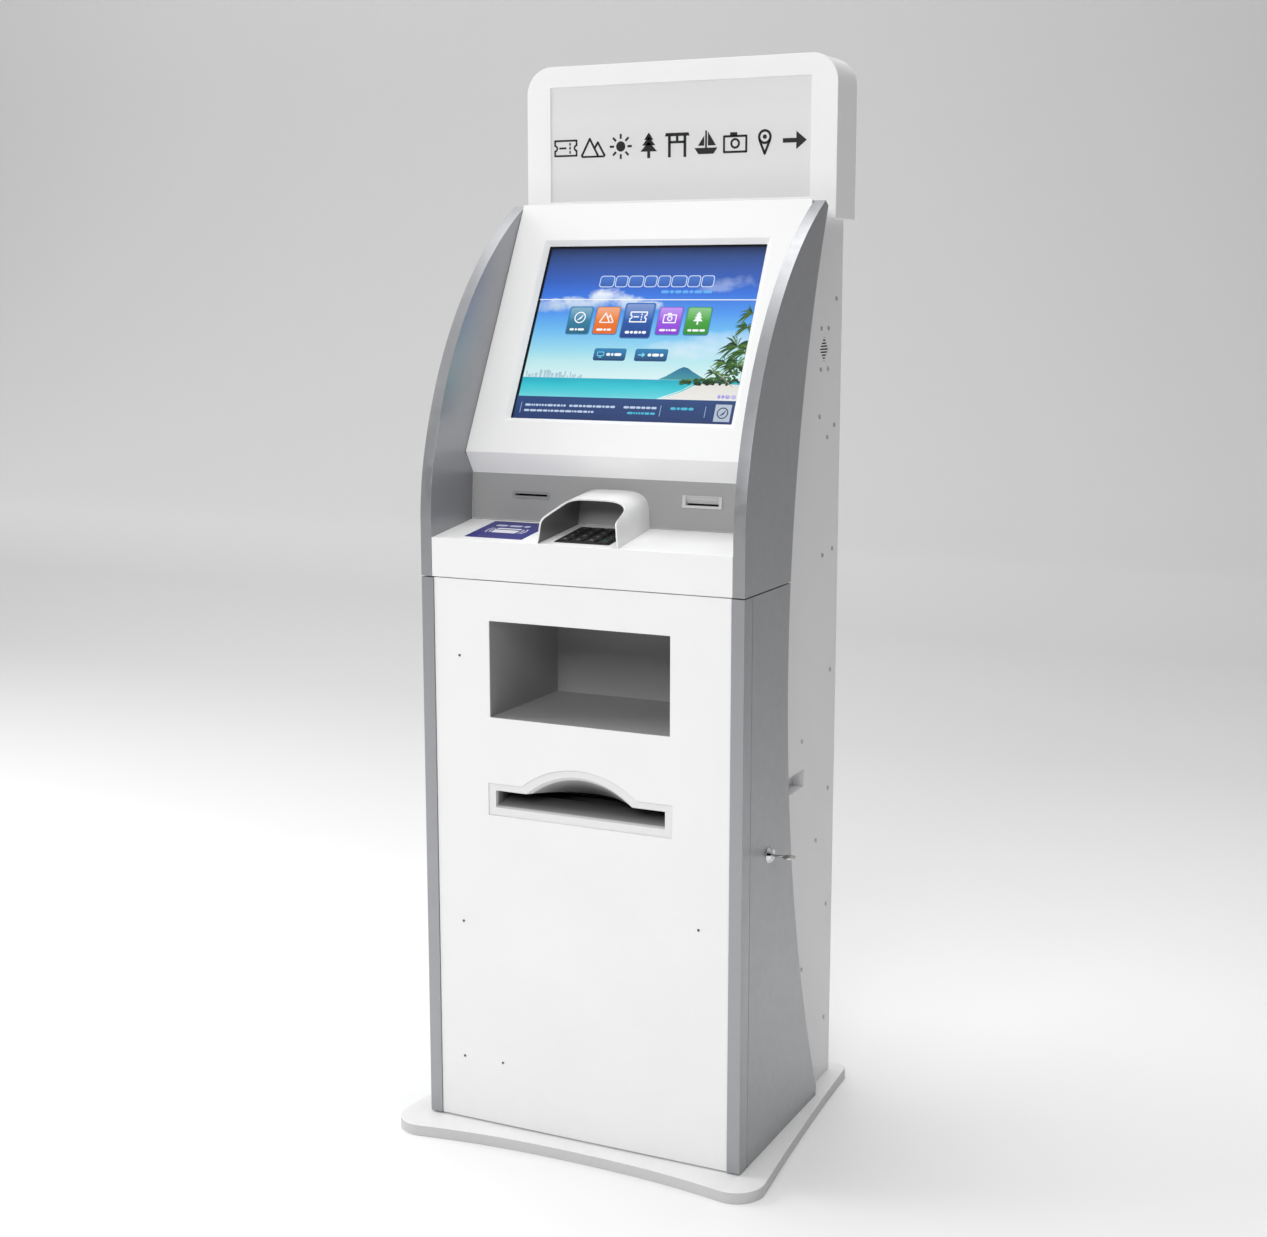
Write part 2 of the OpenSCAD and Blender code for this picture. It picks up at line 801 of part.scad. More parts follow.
module pickup_bin() {
    y0 = panel_y + sheet_t;
    color("gray") placed() difference() {
        union() {
            box(-bin_half_w - bin_t, bin_half_w + bin_t, y0, bin_d + bin_t, bin_z0 - bin_t, bin_z1 + bin_t);
            box(-bin_half_w - 14, bin_half_w + 14, y0, y0 + bin_t, bin_z0 - 12, bin_z1 + 12);
        }
        box(-bin_half_w, bin_half_w, 0, bin_d, bin_z0, bin_z1);
    }
}

module outlet_bezel() {
    y0 = panel_y + 1.2;
    flange_y = panel_y + sheet_t;
    scoop_a = atan2(scoop_drop, scoop_run);
    color("whitesmoke") placed() difference() {
        union() {
            through(y0, flange_y + 2) outlet_outline(0);
            through(flange_y, flange_y + 2) outlet_outline(10);
            through(flange_y, bezel_d) outlet_outline(-8);
        }
        across(-mouth_half_w, mouth_half_w) polygon([
            [-1, mouth_z0], [ramp_y, mouth_z0], [bezel_d + 1, ramp_top_z],
            [bezel_d + 1, mouth_z1], [-1, mouth_z1]
        ]);
        intersection() {
            translate([0, 0, scoop_z]) rotate([-90 - scoop_a, 0, 0]) translate([0, scoop_r, -80])
                cylinder(h = 200, r = scoop_r, $fn = 180);
            box(-130, 130, -1, bezel_d + 1, mouth_z1 - 1, 640);
        }
    }
}

// Pivot pins: two for the front door, two for the rear door
module hinge_pins() {
    color("silver") placed() {
        rod_z(base_t - 10, door_foot_z + 18, hinge_x, hinge_y, pin_r);
        rod_z(door_top_z - 18, seam_z + 16, hinge_x, hinge_y, pin_r);
        rod_z(rear_z0 - rear_gap - 4, rear_z0 + 15, rear_pin_x, rear_pin_y, pin_r);
        rod_z(rear_z1 - 15, rear_z1 + rear_gap + 4, rear_pin_x, rear_pin_y, pin_r);
    }
}

// ---------- locks ----------

// A cam lock drawn along +X from its mounting face at x = 0, with its body behind the face
module lock_barrel(body_len) {
    difference() {
        union() {
            rod_x(-body_len, 0, 0, 0, barrel_r);
            rotate([0, 90, 0]) cylinder(h = 6, r1 = 13.5, r2 = 9, $fn = 64);
        }
        rod_x(-body_len - 1, 7, 0, 0, plug_r + run_gap);
    }
}

module lock_plug(body_len) {
    rod_x(-body_len - 1.5, 6.5, 0, 0, plug_r);
    rod_x(-body_len - 5.5, -body_len - 1.5, 0, 0, 3.5);
}

// Flat cam on the plug's end, reaching along +Y
module lock_cam(body_len) {
    difference() {
        union() {
            rod_x(-body_len - 1.5 - cam_t, -body_len - 1.5, 0, 0, 9);
            box(-body_len - 1.5 - cam_t, -body_len - 1.5, 0, cam_len, -8, 8);
        }
        rod_x(-body_len - 6, -body_len, 0, 0, 3.5);
    }
}

front_body_len = 36;

module front_lock_barrel() {
    color("silver") placed() translate([half_w, lock_y, lock_z]) lock_barrel(front_body_len);
}

module front_lock_key() {
    color("lightgray") placed() translate([half_w, lock_y, lock_z]) {
        lock_plug(front_body_len);
        box(6, 24, -3.5, 3.5, -1, 1);
        translate([32, 0, -1.2]) cylinder(h = 2.4, r = 10, $fn = 48);
    }
}

module front_lock_cam() {
    color("silver") placed() translate([half_w, lock_y, lock_z]) mirror([0, 1, 0]) lock_cam(front_body_len);
}

rear_body_len = 26;

module at_rear_lock() {
    translate([rear_lock_x, body_d, rear_lock_z]) rotate([-90, 0, 90]) children();
}

module rear_lock_barrel() {
    color("silver") placed() at_rear_lock() lock_barrel(rear_body_len);
}

module rear_lock_cam() {
    color("silver") placed() at_rear_lock() difference() {
        union() {
            lock_plug(rear_body_len);
            lock_cam(rear_body_len);
        }
        box(4, 8, -5, 5, -0.8, 0.8);
    }
}

// ---------- rear door and fan ----------

module vent_rows(z0, rows) {
    for (i = [0:rows - 1], x = [-120, -40, 40])
        box(x, x + 64, body_d - 5, body_d + 1, z0 + 12 * i, z0 + 12 * i + 4);
}

module rear_door() {
    x0 = -rear_half_w - 0.5;
    x1 = rear_half_w - 1;
    color("gainsboro") placed() difference() {
        union() {
            box(x0, x1, body_d - sheet_t, body_d, rear_z0, rear_z1);
            difference() {
                box(x0, x1, body_d - 18, body_d, rear_z0, rear_z1);
                box(x0 + sheet_t, x1 - sheet_t, body_d - 20, body_d + 1, rear_z0 + sheet_t, rear_z1 - sheet_t);
            }
            for (z = [rear_z0, rear_z1 - 20]) box(204, x1 - 1, body_d - 14, body_d - 1, z, z + 20);
        }
        rod_z(rear_z0 - 1, rear_z0 + 16, rear_pin_x, rear_pin_y, pin_r + run_gap);
        rod_z(rear_z1 - 16, rear_z1 + 1, rear_pin_x, rear_pin_y, pin_r + run_gap);
        rod_y(body_d - 5, body_d + 1, rear_lock_x, rear_lock_z, barrel_r);
        vent_rows(230, 8);
        vent_rows(1000, 6);
        for (ring = [1:4], i = [0:6 * ring - 1]) {
            a = 60 * i / ring;
            rod_y(body_d - 5, body_d + 1, grille_pitch * ring * cos(a), fan_z + grille_pitch * ring * sin(a), 4);
        }
    }
}

module fan_frame() {
    y1 = body_d - sheet_t;
    y0 = y1 - fan_d;
    color("black") placed() {
        difference() {
            through(y0, y1) difference() {
                translate([0, fan_z]) square(fan_w, center = true);
                translate([0, fan_z]) circle(57, $fn = 96);
            }
            for (sx = [-1, 1], sz = [-1, 1]) rod_y(y0 - 1, y1 + 1, sx * 52.5, fan_z + sz * 52.5, 2.2);
        }
        rod_y(y1 - 5, y1, 0, fan_z, 19);
        for (a = [45:90:315])
            translate([0, 0, fan_z]) rotate([0, a, 0]) box(17, 58, y1 - 5, y1 - 1, -2.5, 2.5);
        rod_y(y0 + 4, y1 - 4, 0, fan_z, 2);
    }
}

module fan_rotor() {
    y1 = body_d - sheet_t - 6.5;
    color("dimgray") placed() difference() {
        union() {
            rod_y(y1 - 15, y1, 0, fan_z, 18);
            for (a = [0:360 / 7:359]) translate([0, y1 - 7.5, fan_z]) rotate([0, a, 0])
                translate([36, 0, 0]) rotate([35, 0, 0]) cube([40, 1.6, 21], center = true);
        }
        rod_y(y1 - 20, y1 + 5, 0, fan_z, 2 + run_gap);
    }
}

// ---------- equipment inside ----------

module computer() {
    z0 = shelf_low_z + sheet_t;
    color("dimgray") placed() difference() {
        union() {
            box(-225, -45, 150, 400, z0 + 4, z0 + 84);
            for (x = [-215, -75], y = [160, 370]) box(x, x + 20, y, y + 20, z0, z0 + 4);
        }
        box(-222, -48, 153, 401, z0 + 7, z0 + 81);
        for (i = [0:9]) box(-200 + 14 * i, -194 + 14 * i, 200, 340, z0 + 75, z0 + 90);
    }
}

module power_supply() {
    z0 = shelf_low_z + sheet_t;
    color("silver") placed() difference() {
        union() {
            box(40, 200, 200, 360, z0, z0 + 55);
            box(60, 180, 185, 200, z0, z0 + 22);
        }
        box(42, 198, 202, 358, z0 + 2, z0 + 53);
        for (i = [0:8]) box(60 + 14 * i, 66 + 14 * i, 230, 330, z0 + 50, z0 + 60);
    }
}

module ticket_printer() {
    z0 = shelf_printer_z + sheet_t;
    half = ticket_w / 2;
    color("dimgray") placed() difference() {
        union() {
            box(-half - 20, half + 20, 82, 400, z0, z0 + 3);
            both_sides() box(half + 15, half + 20, 82, 400, z0 + 3, z0 + 110);
            box(-half - 15, half + 15, 82, 100, z0 + 3, z0 + 110);
            box(-half - 15, half + 15, 100, 190, z0 + 95, z0 + 110);
            rod_x(-half - 15, half + 15, ticket_roll_y, ticket_roll_z, axle_r);
        }
        box(-half - 2, half + 2, 80, 102, 551, 557);
        rod_x(-half - 30, half + 30, ticket_platen_y, ticket_platen_z, shaft_r + run_gap);
    }
}

module ticket_platen() {
    half = ticket_w / 2;
    color("black") placed() {
        rod_x(-half - 4, half + 4, ticket_platen_y, ticket_platen_z, ticket_platen_r);
        rod_x(-half - 24, half + 24, ticket_platen_y, ticket_platen_z, shaft_r);
        rod_x(half + 22, half + 28, ticket_platen_y, ticket_platen_z, 12);
    }
}

module ticket_roll() {
    color("white") placed() paper_roll(0, ticket_w, ticket_roll_y, ticket_roll_z, ticket_roll_r);
}

module speakers() {
    x1 = inner_w - sheet_t;
    color("black") placed() both_sides() difference() {
        box(x1 - 30, x1, speaker_y - 30, speaker_y + 30, speaker_z - 40, speaker_z + 40);
        translate([x1 - 14, speaker_y, speaker_z]) rotate([0, 90, 0]) cylinder(h = 15, r1 = 12, r2 = 26, $fn = 64);
        for (p = speaker_screws) rod_x(x1 - 9, x1 + 1, p[0], p[1], screw_r);
    }
}

module cabinet_screws() {
    color("gray") placed() both_sides() for (p = side_screws) {
        rod_x(inner_w - 8, inner_w, p[0], p[1], screw_r);
        rod_x(inner_w, inner_w + 1.6, p[0], p[1], screw_head_r);
    }
}

base_plate();
cabinet_shell();
side_panel_lower_left();
side_panel_lower_right();
side_panel_upper_left();
side_panel_upper_right();
screen_panel();
desk_panel();
touch_glass();
lcd_panel();
monitor_case();
card_bezel();
card_reader();
receipt_bezel();
receipt_printer();
receipt_platen();
receipt_roll();
keypad_frame();
keypad_key(0, 0);  // key_1
keypad_key(1, 0);  // key_2
keypad_key(2, 0);  // key_3
keypad_key(3, 0);  // key_cancel
keypad_key(0, 1);  // key_4
keypad_key(1, 1);  // key_5
keypad_key(2, 1);  // key_6
keypad_key(3, 1);  // key_clear
keypad_key(0, 2);  // key_7
keypad_key(1, 2);  // key_8
keypad_key(2, 2);  // key_9
keypad_key(3, 2);  // key_help
keypad_key(0, 3);  // key_left
keypad_key(1, 3);  // key_0
keypad_key(2, 3);  // key_right
keypad_key(3, 3);  // key_enter
keypad_hood();
contactless_reader();
reader_label();
sign_box();
sign_face();
sign_lamps();
door_panel();
door_strips();
pickup_bin();
outlet_bezel();
hinge_pins();
front_lock_barrel();
front_lock_key();
front_lock_cam();
rear_door();
rear_lock_barrel();
rear_lock_cam();
fan_frame();
fan_rotor();
computer();
power_supply();
ticket_printer();
ticket_platen();
ticket_roll();
speakers();
cabinet_screws();
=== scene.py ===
"""Looks of the self-service ticket machine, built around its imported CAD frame. Lengths are metres."""
import json
import math
import random

import bmesh
import bpy
from mathutils import Matrix, Vector


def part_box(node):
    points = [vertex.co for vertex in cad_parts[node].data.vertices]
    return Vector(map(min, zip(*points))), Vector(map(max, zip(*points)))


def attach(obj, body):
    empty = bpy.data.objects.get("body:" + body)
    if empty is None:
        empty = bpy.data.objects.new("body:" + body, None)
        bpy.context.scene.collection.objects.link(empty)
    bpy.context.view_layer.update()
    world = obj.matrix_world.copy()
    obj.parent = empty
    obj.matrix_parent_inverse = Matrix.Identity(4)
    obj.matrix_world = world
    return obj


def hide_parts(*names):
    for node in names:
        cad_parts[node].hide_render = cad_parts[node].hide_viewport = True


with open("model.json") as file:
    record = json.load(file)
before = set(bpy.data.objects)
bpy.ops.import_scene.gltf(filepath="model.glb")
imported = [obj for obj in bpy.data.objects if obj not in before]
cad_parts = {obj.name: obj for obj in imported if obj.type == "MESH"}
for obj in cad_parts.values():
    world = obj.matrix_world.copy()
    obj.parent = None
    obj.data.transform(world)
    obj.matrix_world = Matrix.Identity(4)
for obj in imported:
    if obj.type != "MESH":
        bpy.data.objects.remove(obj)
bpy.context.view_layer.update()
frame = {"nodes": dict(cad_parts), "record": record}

MM = 0.001
RECORD = frame["record"]
NODES = frame["nodes"]


# ---------- colours and node materials ----------

def srgb(r, g, b):
    """A colour read as 0 to 255 display values, as linear light."""
    def linear(v):
        v /= 255
        return v / 12.92 if v <= 0.04045 else ((v + 0.055) / 1.055) ** 2.4
    return (linear(r), linear(g), linear(b), 1.0)


def shade(colour, factor):
    return tuple(min(1.0, c * factor) for c in colour[:3]) + (1.0,)


def blend_colours(a, b, t):
    return tuple(x + (y - x) * t for x, y in zip(a, b))


class Graph:
    """One material's node tree, with short calls for the nodes that the finishes share."""

    def __init__(self, name):
        self.mat = bpy.data.materials.new(name)
        self.mat.use_nodes = True
        self.tree = self.mat.node_tree
        self.tree.nodes.clear()
        self.bsdf = self.add("ShaderNodeBsdfPrincipled")
        self.out = self.add("ShaderNodeOutputMaterial")
        self.link(self.bsdf.outputs[0], self.out.inputs[0])
        self.place = self.add("ShaderNodeTexCoord").outputs["Object"]

    def add(self, kind, **settings):
        node = self.tree.nodes.new(kind)
        for key, value in settings.items():
            setattr(node, key, value)
        return node

    def link(self, source, target):
        self.tree.links.new(source, target)

    def put(self, socket, value):
        if isinstance(value, bpy.types.NodeSocket):
            self.link(value, socket)
        else:
            socket.default_value = value

    def set(self, **inputs):
        for key, value in inputs.items():
            self.put(self.bsdf.inputs[key.replace("_", " ")], value)

    def math(self, operation, a, b=0.0, clamp=False):
        node = self.add("ShaderNodeMath", operation=operation, use_clamp=clamp)
        self.put(node.inputs[0], a)
        self.put(node.inputs[1], b)
        return node.outputs[0]

    def stretched(self, x=1.0, y=1.0, z=1.0):
        node = self.add("ShaderNodeMapping")
        self.link(self.place, node.inputs["Vector"])
        node.inputs["Scale"].default_value = (x, y, z)
        return node.outputs[0]

    def noise(self, scale, detail=2.0, place=None, roughness=0.5):
        node = self.add("ShaderNodeTexNoise")
        self.link(place or self.place, node.inputs["Vector"])
        node.inputs["Scale"].default_value = scale
        node.inputs["Detail"].default_value = detail
        node.inputs["Roughness"].default_value = roughness
        return node.outputs["Fac"]

    def ramp(self, value, stops):
        node = self.add("ShaderNodeValToRGB")
        self.link(value, node.inputs[0])
        elements = node.color_ramp.elements
        while len(elements) < len(stops):
            elements.new(0.5)
        for element, (place, colour) in zip(elements, stops):
            element.position = place
            element.color = colour if isinstance(colour, tuple) else (colour, colour, colour, 1.0)
        return node.outputs[0]

    def mix(self, factor, a, b):
        node = self.add("ShaderNodeMix", data_type="RGBA")
        self.put(node.inputs[0], factor)
        self.put(node.inputs[6], a)
        self.put(node.inputs[7], b)
        return node.outputs[2]

    def fit(self, value, low, high, to_low=0.0, to_high=1.0):
        node = self.add("ShaderNodeMapRange")
        for socket, v in zip(node.inputs, (value, low, high, to_low, to_high)):
            self.put(socket, v)
        return node.outputs[0]

    def axis(self, index):
        node = self.add("ShaderNodeSeparateXYZ")
        self.link(self.place, node.inputs[0])
        return node.outputs[index]

    def along(self, origin, direction):
        """Distance of the shaded point from origin along direction."""
        node = self.add("ShaderNodeVectorMath", operation="DOT_PRODUCT")
        self.link(self.place, node.inputs[0])
        node.inputs[1].default_value = direction
        return self.math("SUBTRACT", node.outputs["Value"], origin.dot(direction))

    def facing(self, direction, low, high):
        """1 where the surface faces along direction, 0 where it does not."""
        node = self.add("ShaderNodeVectorMath", operation="DOT_PRODUCT")
        self.link(self.add("ShaderNodeNewGeometry").outputs["Normal"], node.inputs[0])
        node.inputs[1].default_value = direction
        return self.fit(node.outputs["Value"], low, high)

    def bump(self, height, strength, distance):
        node = self.add("ShaderNodeBump")
        self.put(node.inputs["Height"], height)
        node.inputs["Strength"].default_value = strength
        node.inputs["Distance"].default_value = distance
        self.link(node.outputs[0], self.bsdf.inputs["Normal"])


def powder_coat(name, colour, rough=0.42, texture=0.12, grime=0.05, shade_patch=None):
    """Sprayed and baked paint: faint clouding, fine orange peel, a little dust near the floor.

    A shade patch is (direction, facing range, height range, tone): faces that look that way at that
    height get another tone, a painted shade.
    """
    g = Graph(name)
    cloud = g.noise(6.0, 4.0)
    peel = g.noise(1400.0, 2.0)
    low = g.fit(g.axis(2), 0.02, 0.30, 1.0, 0.0)
    dust = g.math("MULTIPLY", g.math("MULTIPLY", low, g.noise(30.0, 5.0)), grime * 2)
    tone = g.mix(g.fit(cloud, 0.3, 0.7), shade(colour, 0.985), shade(colour, 1.01))
    if shade_patch:
        direction, turned, heights, other = shade_patch
        inside = g.math("MULTIPLY", g.math("GREATER_THAN", g.axis(2), heights[0]),
                        g.math("LESS_THAN", g.axis(2), heights[1]))
        # painted shade: faces picked by the shade patch take its darker tone
        tone = g.mix(g.math("MULTIPLY", g.facing(direction, *turned), inside), tone, other)
    g.set(Base_Color=g.mix(dust, tone, shade(colour, 0.55)))
    g.set(Roughness=g.fit(g.noise(45.0, 3.0), 0.3, 0.7, rough - 0.04, rough + 0.05))
    g.set(Specular_IOR_Level=0.4)
    g.bump(peel, texture, 0.0001)
    return g.mat


def metallic_paint(name, colour, rough=0.38, metal=0.7):
    """Silver paint: fine flake sparkle in the tone, satin reflections."""
    g = Graph(name)
    flake = g.noise(5200.0, 1.0)
    cloud = g.noise(5.0, 3.0)
    tone = g.mix(g.fit(flake, 0.35, 0.65), shade(colour, 0.93), shade(colour, 1.07))
    g.set(Base_Color=g.mix(g.fit(cloud, 0.3, 0.7, 0.0, 0.12), tone, shade(colour, 0.82)))
    g.set(Metallic=metal)
    g.set(Roughness=g.fit(g.noise(80.0, 3.0), 0.3, 0.7, rough - 0.04, rough + 0.06))
    g.bump(g.noise(1800.0, 2.0), 0.08, 0.0001)
    return g.mat


def brushed_metal(name, colour, rough=0.28, along=2, metal=1.0):
    """Metal with fine brushing lines along one axis."""
    g = Graph(name)
    scale = [1.0, 1.0, 1.0]
    scale[along] = 0.02
    lines = g.noise(2600.0, 3.0, g.stretched(*scale))
    g.set(Base_Color=g.mix(g.fit(lines, 0.3, 0.7), shade(colour, 0.86), shade(colour, 1.08)))
    g.set(Metallic=metal)
    g.set(Roughness=g.fit(lines, 0.2, 0.8, rough - 0.06, rough + 0.10))
    g.bump(lines, 0.08, 0.0001)
    return g.mat


def polished_metal(name, colour, rough=0.10):
    """Plated metal with faint handling marks."""
    g = Graph(name)
    marks = g.noise(260.0, 6.0)
    g.set(Base_Color=g.mix(g.fit(marks, 0.45, 0.75), colour, shade(colour, 0.8)))
    g.set(Metallic=1.0)
    g.set(Roughness=g.fit(marks, 0.3, 0.8, rough, rough + 0.14))
    g.bump(marks, 0.03, 0.0001)
    return g.mat


def plastic(name, colour, rough=0.5, grain=0.25, size=1700.0, inner_shade=None):
    """Moulded plastic with a fine spark-eroded grain; faces marked inner_shade can have their own tone, a painted shade
    inside a hollow.
    """
    g = Graph(name)
    texture = g.noise(size, 3.0)
    tone = g.mix(g.fit(g.noise(14.0, 3.0), 0.3, 0.7), shade(colour, 0.95), shade(colour, 1.04))
    if inner_shade:
        # painted shade: faces marked inner_shade take the darker tone
        tone = g.mix(g.add("ShaderNodeAttribute", attribute_name="inner_shade").outputs["Fac"], tone, inner_shade)
    g.set(Base_Color=g.mix(g.fit(texture, 0.3, 0.7, 0.0, 0.12), tone, shade(colour, 0.75)))
    g.set(Roughness=g.fit(texture, 0.3, 0.7, rough - 0.05, rough + 0.07))
    g.bump(texture, grain, 0.00012)
    return g.mat


def mouth_shaded_plastic(name, colour, face_y):
    """White moulding whose tone falls off inside its mouth: painted shade, darker the deeper it goes."""
    g = Graph(name)
    texture = g.noise(1700.0, 3.0)
    depth = g.fit(g.axis(1), face_y + 0.006, face_y + 0.050)
    # painted shade: the tone darkens with depth into the mouth
    tone = g.ramp(depth, [(0.0, colour), (0.08, shade(colour, 0.40)), (0.5, shade(colour, 0.16)), (1.0, shade(colour, 0.05))])
    g.set(Base_Color=g.mix(g.fit(texture, 0.3, 0.7, 0.0, 0.08), tone, shade(colour, 0.75)))
    g.set(Roughness=g.fit(texture, 0.3, 0.7, 0.42, 0.54))
    g.bump(texture, 0.12, 0.00012)
    return g.mat


def rubber(name, colour):
    g = Graph(name)
    lines = g.noise(900.0, 4.0)
    g.set(Base_Color=g.mix(g.fit(lines, 0.3, 0.7), shade(colour, 0.8), shade(colour, 1.5)))
    g.set(Roughness=g.fit(lines, 0.3, 0.7, 0.7, 0.9))
    g.bump(lines, 0.35, 0.0002)
    return g.mat


def wound_paper(name, colour):
    """A paper roll: fine turns on its ends, a plain smooth outside."""
    g = Graph(name)
    turns = g.noise(2200.0, 1.0, g.stretched(0.02, 1.0, 1.0))
    g.set(Base_Color=g.mix(g.fit(turns, 0.35, 0.65), shade(colour, 0.86), colour))
    g.set(Roughness=g.fit(turns, 0.3, 0.7, 0.75, 0.9))
    g.bump(turns, 0.2, 0.0001)
    return g.mat


def clear_glass(name):
    """Screen glass: clear straight on, with a soft sheen towards the edge of view."""
    g = Graph(name)
    clear = g.add("ShaderNodeBsdfTransparent")
    gloss = g.add("ShaderNodeBsdfGlossy")
    gloss.inputs["Color"].default_value = (0.9, 0.95, 1.0, 1.0)
    g.put(gloss.inputs["Roughness"], g.fit(g.noise(60.0, 4.0), 0.3, 0.7, 0.09, 0.16))
    weight = g.add("ShaderNodeLayerWeight")
    weight.inputs["Blend"].default_value = 0.08
    mixer = g.add("ShaderNodeMixShader")
    g.put(mixer.inputs[0], g.fit(weight.outputs["Fresnel"], 0.0, 1.0, 0.0, 0.2))
    g.link(clear.outputs[0], mixer.inputs[1])
    g.link(gloss.outputs[0], mixer.inputs[2])
    g.tree.nodes.remove(g.bsdf)
    g.link(mixer.outputs[0], g.out.inputs[0])
    return g.mat


def satin_acrylic(name, colour):
    """Opal sheet with lamps behind it: a little brighter in front of each lamp."""
    g = Graph(name)
    low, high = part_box("sign_lamps")
    bands = g.math("SINE", g.fit(g.axis(2), low.z, high.z, -math.pi / 2, math.pi * 3.5))
    tone = g.mix(g.fit(bands, -1.0, 1.0), shade(colour, 0.985), shade(colour, 1.01))
    g.set(Base_Color=g.mix(g.fit(g.noise(700.0, 2.0), 0.3, 0.7, 0.0, 0.1), tone, shade(colour, 0.95)))
    g.set(Roughness=g.fit(g.noise(120.0, 2.0), 0.3, 0.7, 0.42, 0.5))
    g.bump(g.noise(2400.0, 1.0), 0.05, 0.0001)
    return g.mat


def printed(name, light=0.0, rough=0.45):
    """Ink whose colour comes from the shape it is on, with a fine halftone."""
    g = Graph(name)
    ink = g.add("ShaderNodeAttribute", attribute_name="ink").outputs["Color"]
    dots = g.noise(2600.0, 1.0)
    tone = g.mix(g.fit(dots, 0.3, 0.7, 0.0, 0.06), ink, (0.0, 0.0, 0.0, 1.0))
    g.set(Base_Color=g.mix(0.8, tone, (0.0, 0.0, 0.0, 1.0)) if light else tone)
    g.set(Roughness=g.fit(dots, 0.3, 0.7, rough - 0.03, rough + 0.03))
    if light:
        g.set(Emission_Color=tone, Emission_Strength=light)
    return g.mat


# ---------- work planes taken from the CAD faces ----------

class Frame:
    """A work plane: x and s along it, n out of it."""

    def __init__(self, origin, x, s):
        self.origin, self.x, self.s = Vector(origin), Vector(x).normalized(), Vector(s).normalized()
        self.n = self.x.cross(self.s)

    def at(self, x, s, n=0.0):
        return self.origin + self.x * x + self.s * s + self.n * n


class Plane(Frame):
    """A flat CAD face: x across the machine, s up the face from its lowest edge, n out of it."""

    def __init__(self, node, towards):
        towards = Vector(towards).normalized()
        mesh = NODES[node].data
        faces = [p for p in mesh.polygons if p.normal.dot(towards) > 0.995]
        best = max(faces, key=lambda p: p.area)
        self.n = best.normal.normalized()
        self.x = Vector((1.0, 0.0, 0.0))
        self.s = self.n.cross(self.x).normalized()
        here = mesh.vertices[best.vertices[0]].co
        level = here.dot(self.n)
        on_face = [mesh.vertices[i].co for p in faces for i in p.vertices]
        on_face = [c for c in on_face if abs(c.dot(self.n) - level) < 1e-4]
        lowest = min(c.dot(self.s) for c in on_face)
        self.origin = self.n * level + self.s * lowest
        self.height = max(c.dot(self.s) for c in on_face) - lowest


# ---------- flat artwork made of thin closed shapes ----------

def rect(x0, y0, x1, y1):
    return [(x0, y0), (x1, y0), (x1, y1), (x0, y1)]


def rounded(x0, y0, x1, y1, r, steps=5):
    points = []
    for cx, cy, start in ((x1 - r, y1 - r, 0), (x0 + r, y1 - r, 90), (x0 + r, y0 + r, 180), (x1 - r, y0 + r, 270)):
        for i in range(steps + 1):
            a = math.radians(start + 90 * i / steps)
            points.append((cx + r * math.cos(a), cy + r * math.sin(a)))
    return points


def disc(cx, cy, r, steps=28, ry=None):
    ry = ry or r
    angles = [2 * math.pi * i / steps for i in range(steps)]
    return [(cx + r * math.cos(a), cy + ry * math.sin(a)) for a in angles]


def bar(x0, y0, x1, y1, width):
    """A straight stroke of the given width."""
    d = Vector((x1 - x0, y1 - y0)).normalized() * width / 2
    return [(x0 + d.y, y0 - d.x), (x1 + d.y, y1 - d.x), (x1 - d.y, y1 + d.x), (x0 - d.y, y0 + d.x)]


def arc_band(cx, cy, r, width, a0, a1, steps=24):
    """A curved stroke from angle a0 to a1, in degrees."""
    angles = [math.radians(a0 + (a1 - a0) * i / steps) for i in range(steps + 1)]
    outer = [(cx + (r + width / 2) * math.cos(a), cy + (r + width / 2) * math.sin(a)) for a in angles]
    inner = [(cx + (r - width / 2) * math.cos(a), cy + (r - width / 2) * math.sin(a)) for a in angles]
    return outer + inner[::-1]


def ring(cx, cy, r, width):
    return [arc_band(cx, cy, r, width, 0, 180), arc_band(cx, cy, r, width, 180, 360)]


def moved(loop, x, y, scale=1.0):
    return [(x + px * scale, y + py * scale) for px, py in loop]


def new_piece(name, mesh, material, body):
    piece = bpy.data.objects.new(name, mesh)
    bpy.context.scene.collection.objects.link(piece)
    mesh.materials.append(material)
    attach(piece, body)
    return piece


def prism(bm, plane, loop, low, high):
    """Adds a closed plate between two distances from a plane; loop is in millimetres."""
    lower = [bm.verts.new(plane.at(x * MM, y * MM, low)) for x, y in loop]
    upper = [bm.verts.new(plane.at(x * MM, y * MM, high)) for x, y in loop]
    made = [bm.faces.new(upper), bm.faces.new(lower[::-1])]
    for i in range(len(loop)):
        j = (i + 1) % len(loop)
        made.append(bm.faces.new((lower[i], lower[j], upper[j], upper[i])))
    return made, lower, upper


def finish_mesh(name, bm, smooth_deg=None):
    bmesh.ops.recalc_face_normals(bm, faces=bm.faces)
    if smooth_deg:
        for face in bm.faces:
            face.smooth = True
        for edge in bm.edges:
            edge.smooth = len(edge.link_faces) == 2 and edge.calc_face_angle() < math.radians(smooth_deg)
    mesh = bpy.data.meshes.new(name)
    bm.to_mesh(mesh)
    bm.free()
    return mesh


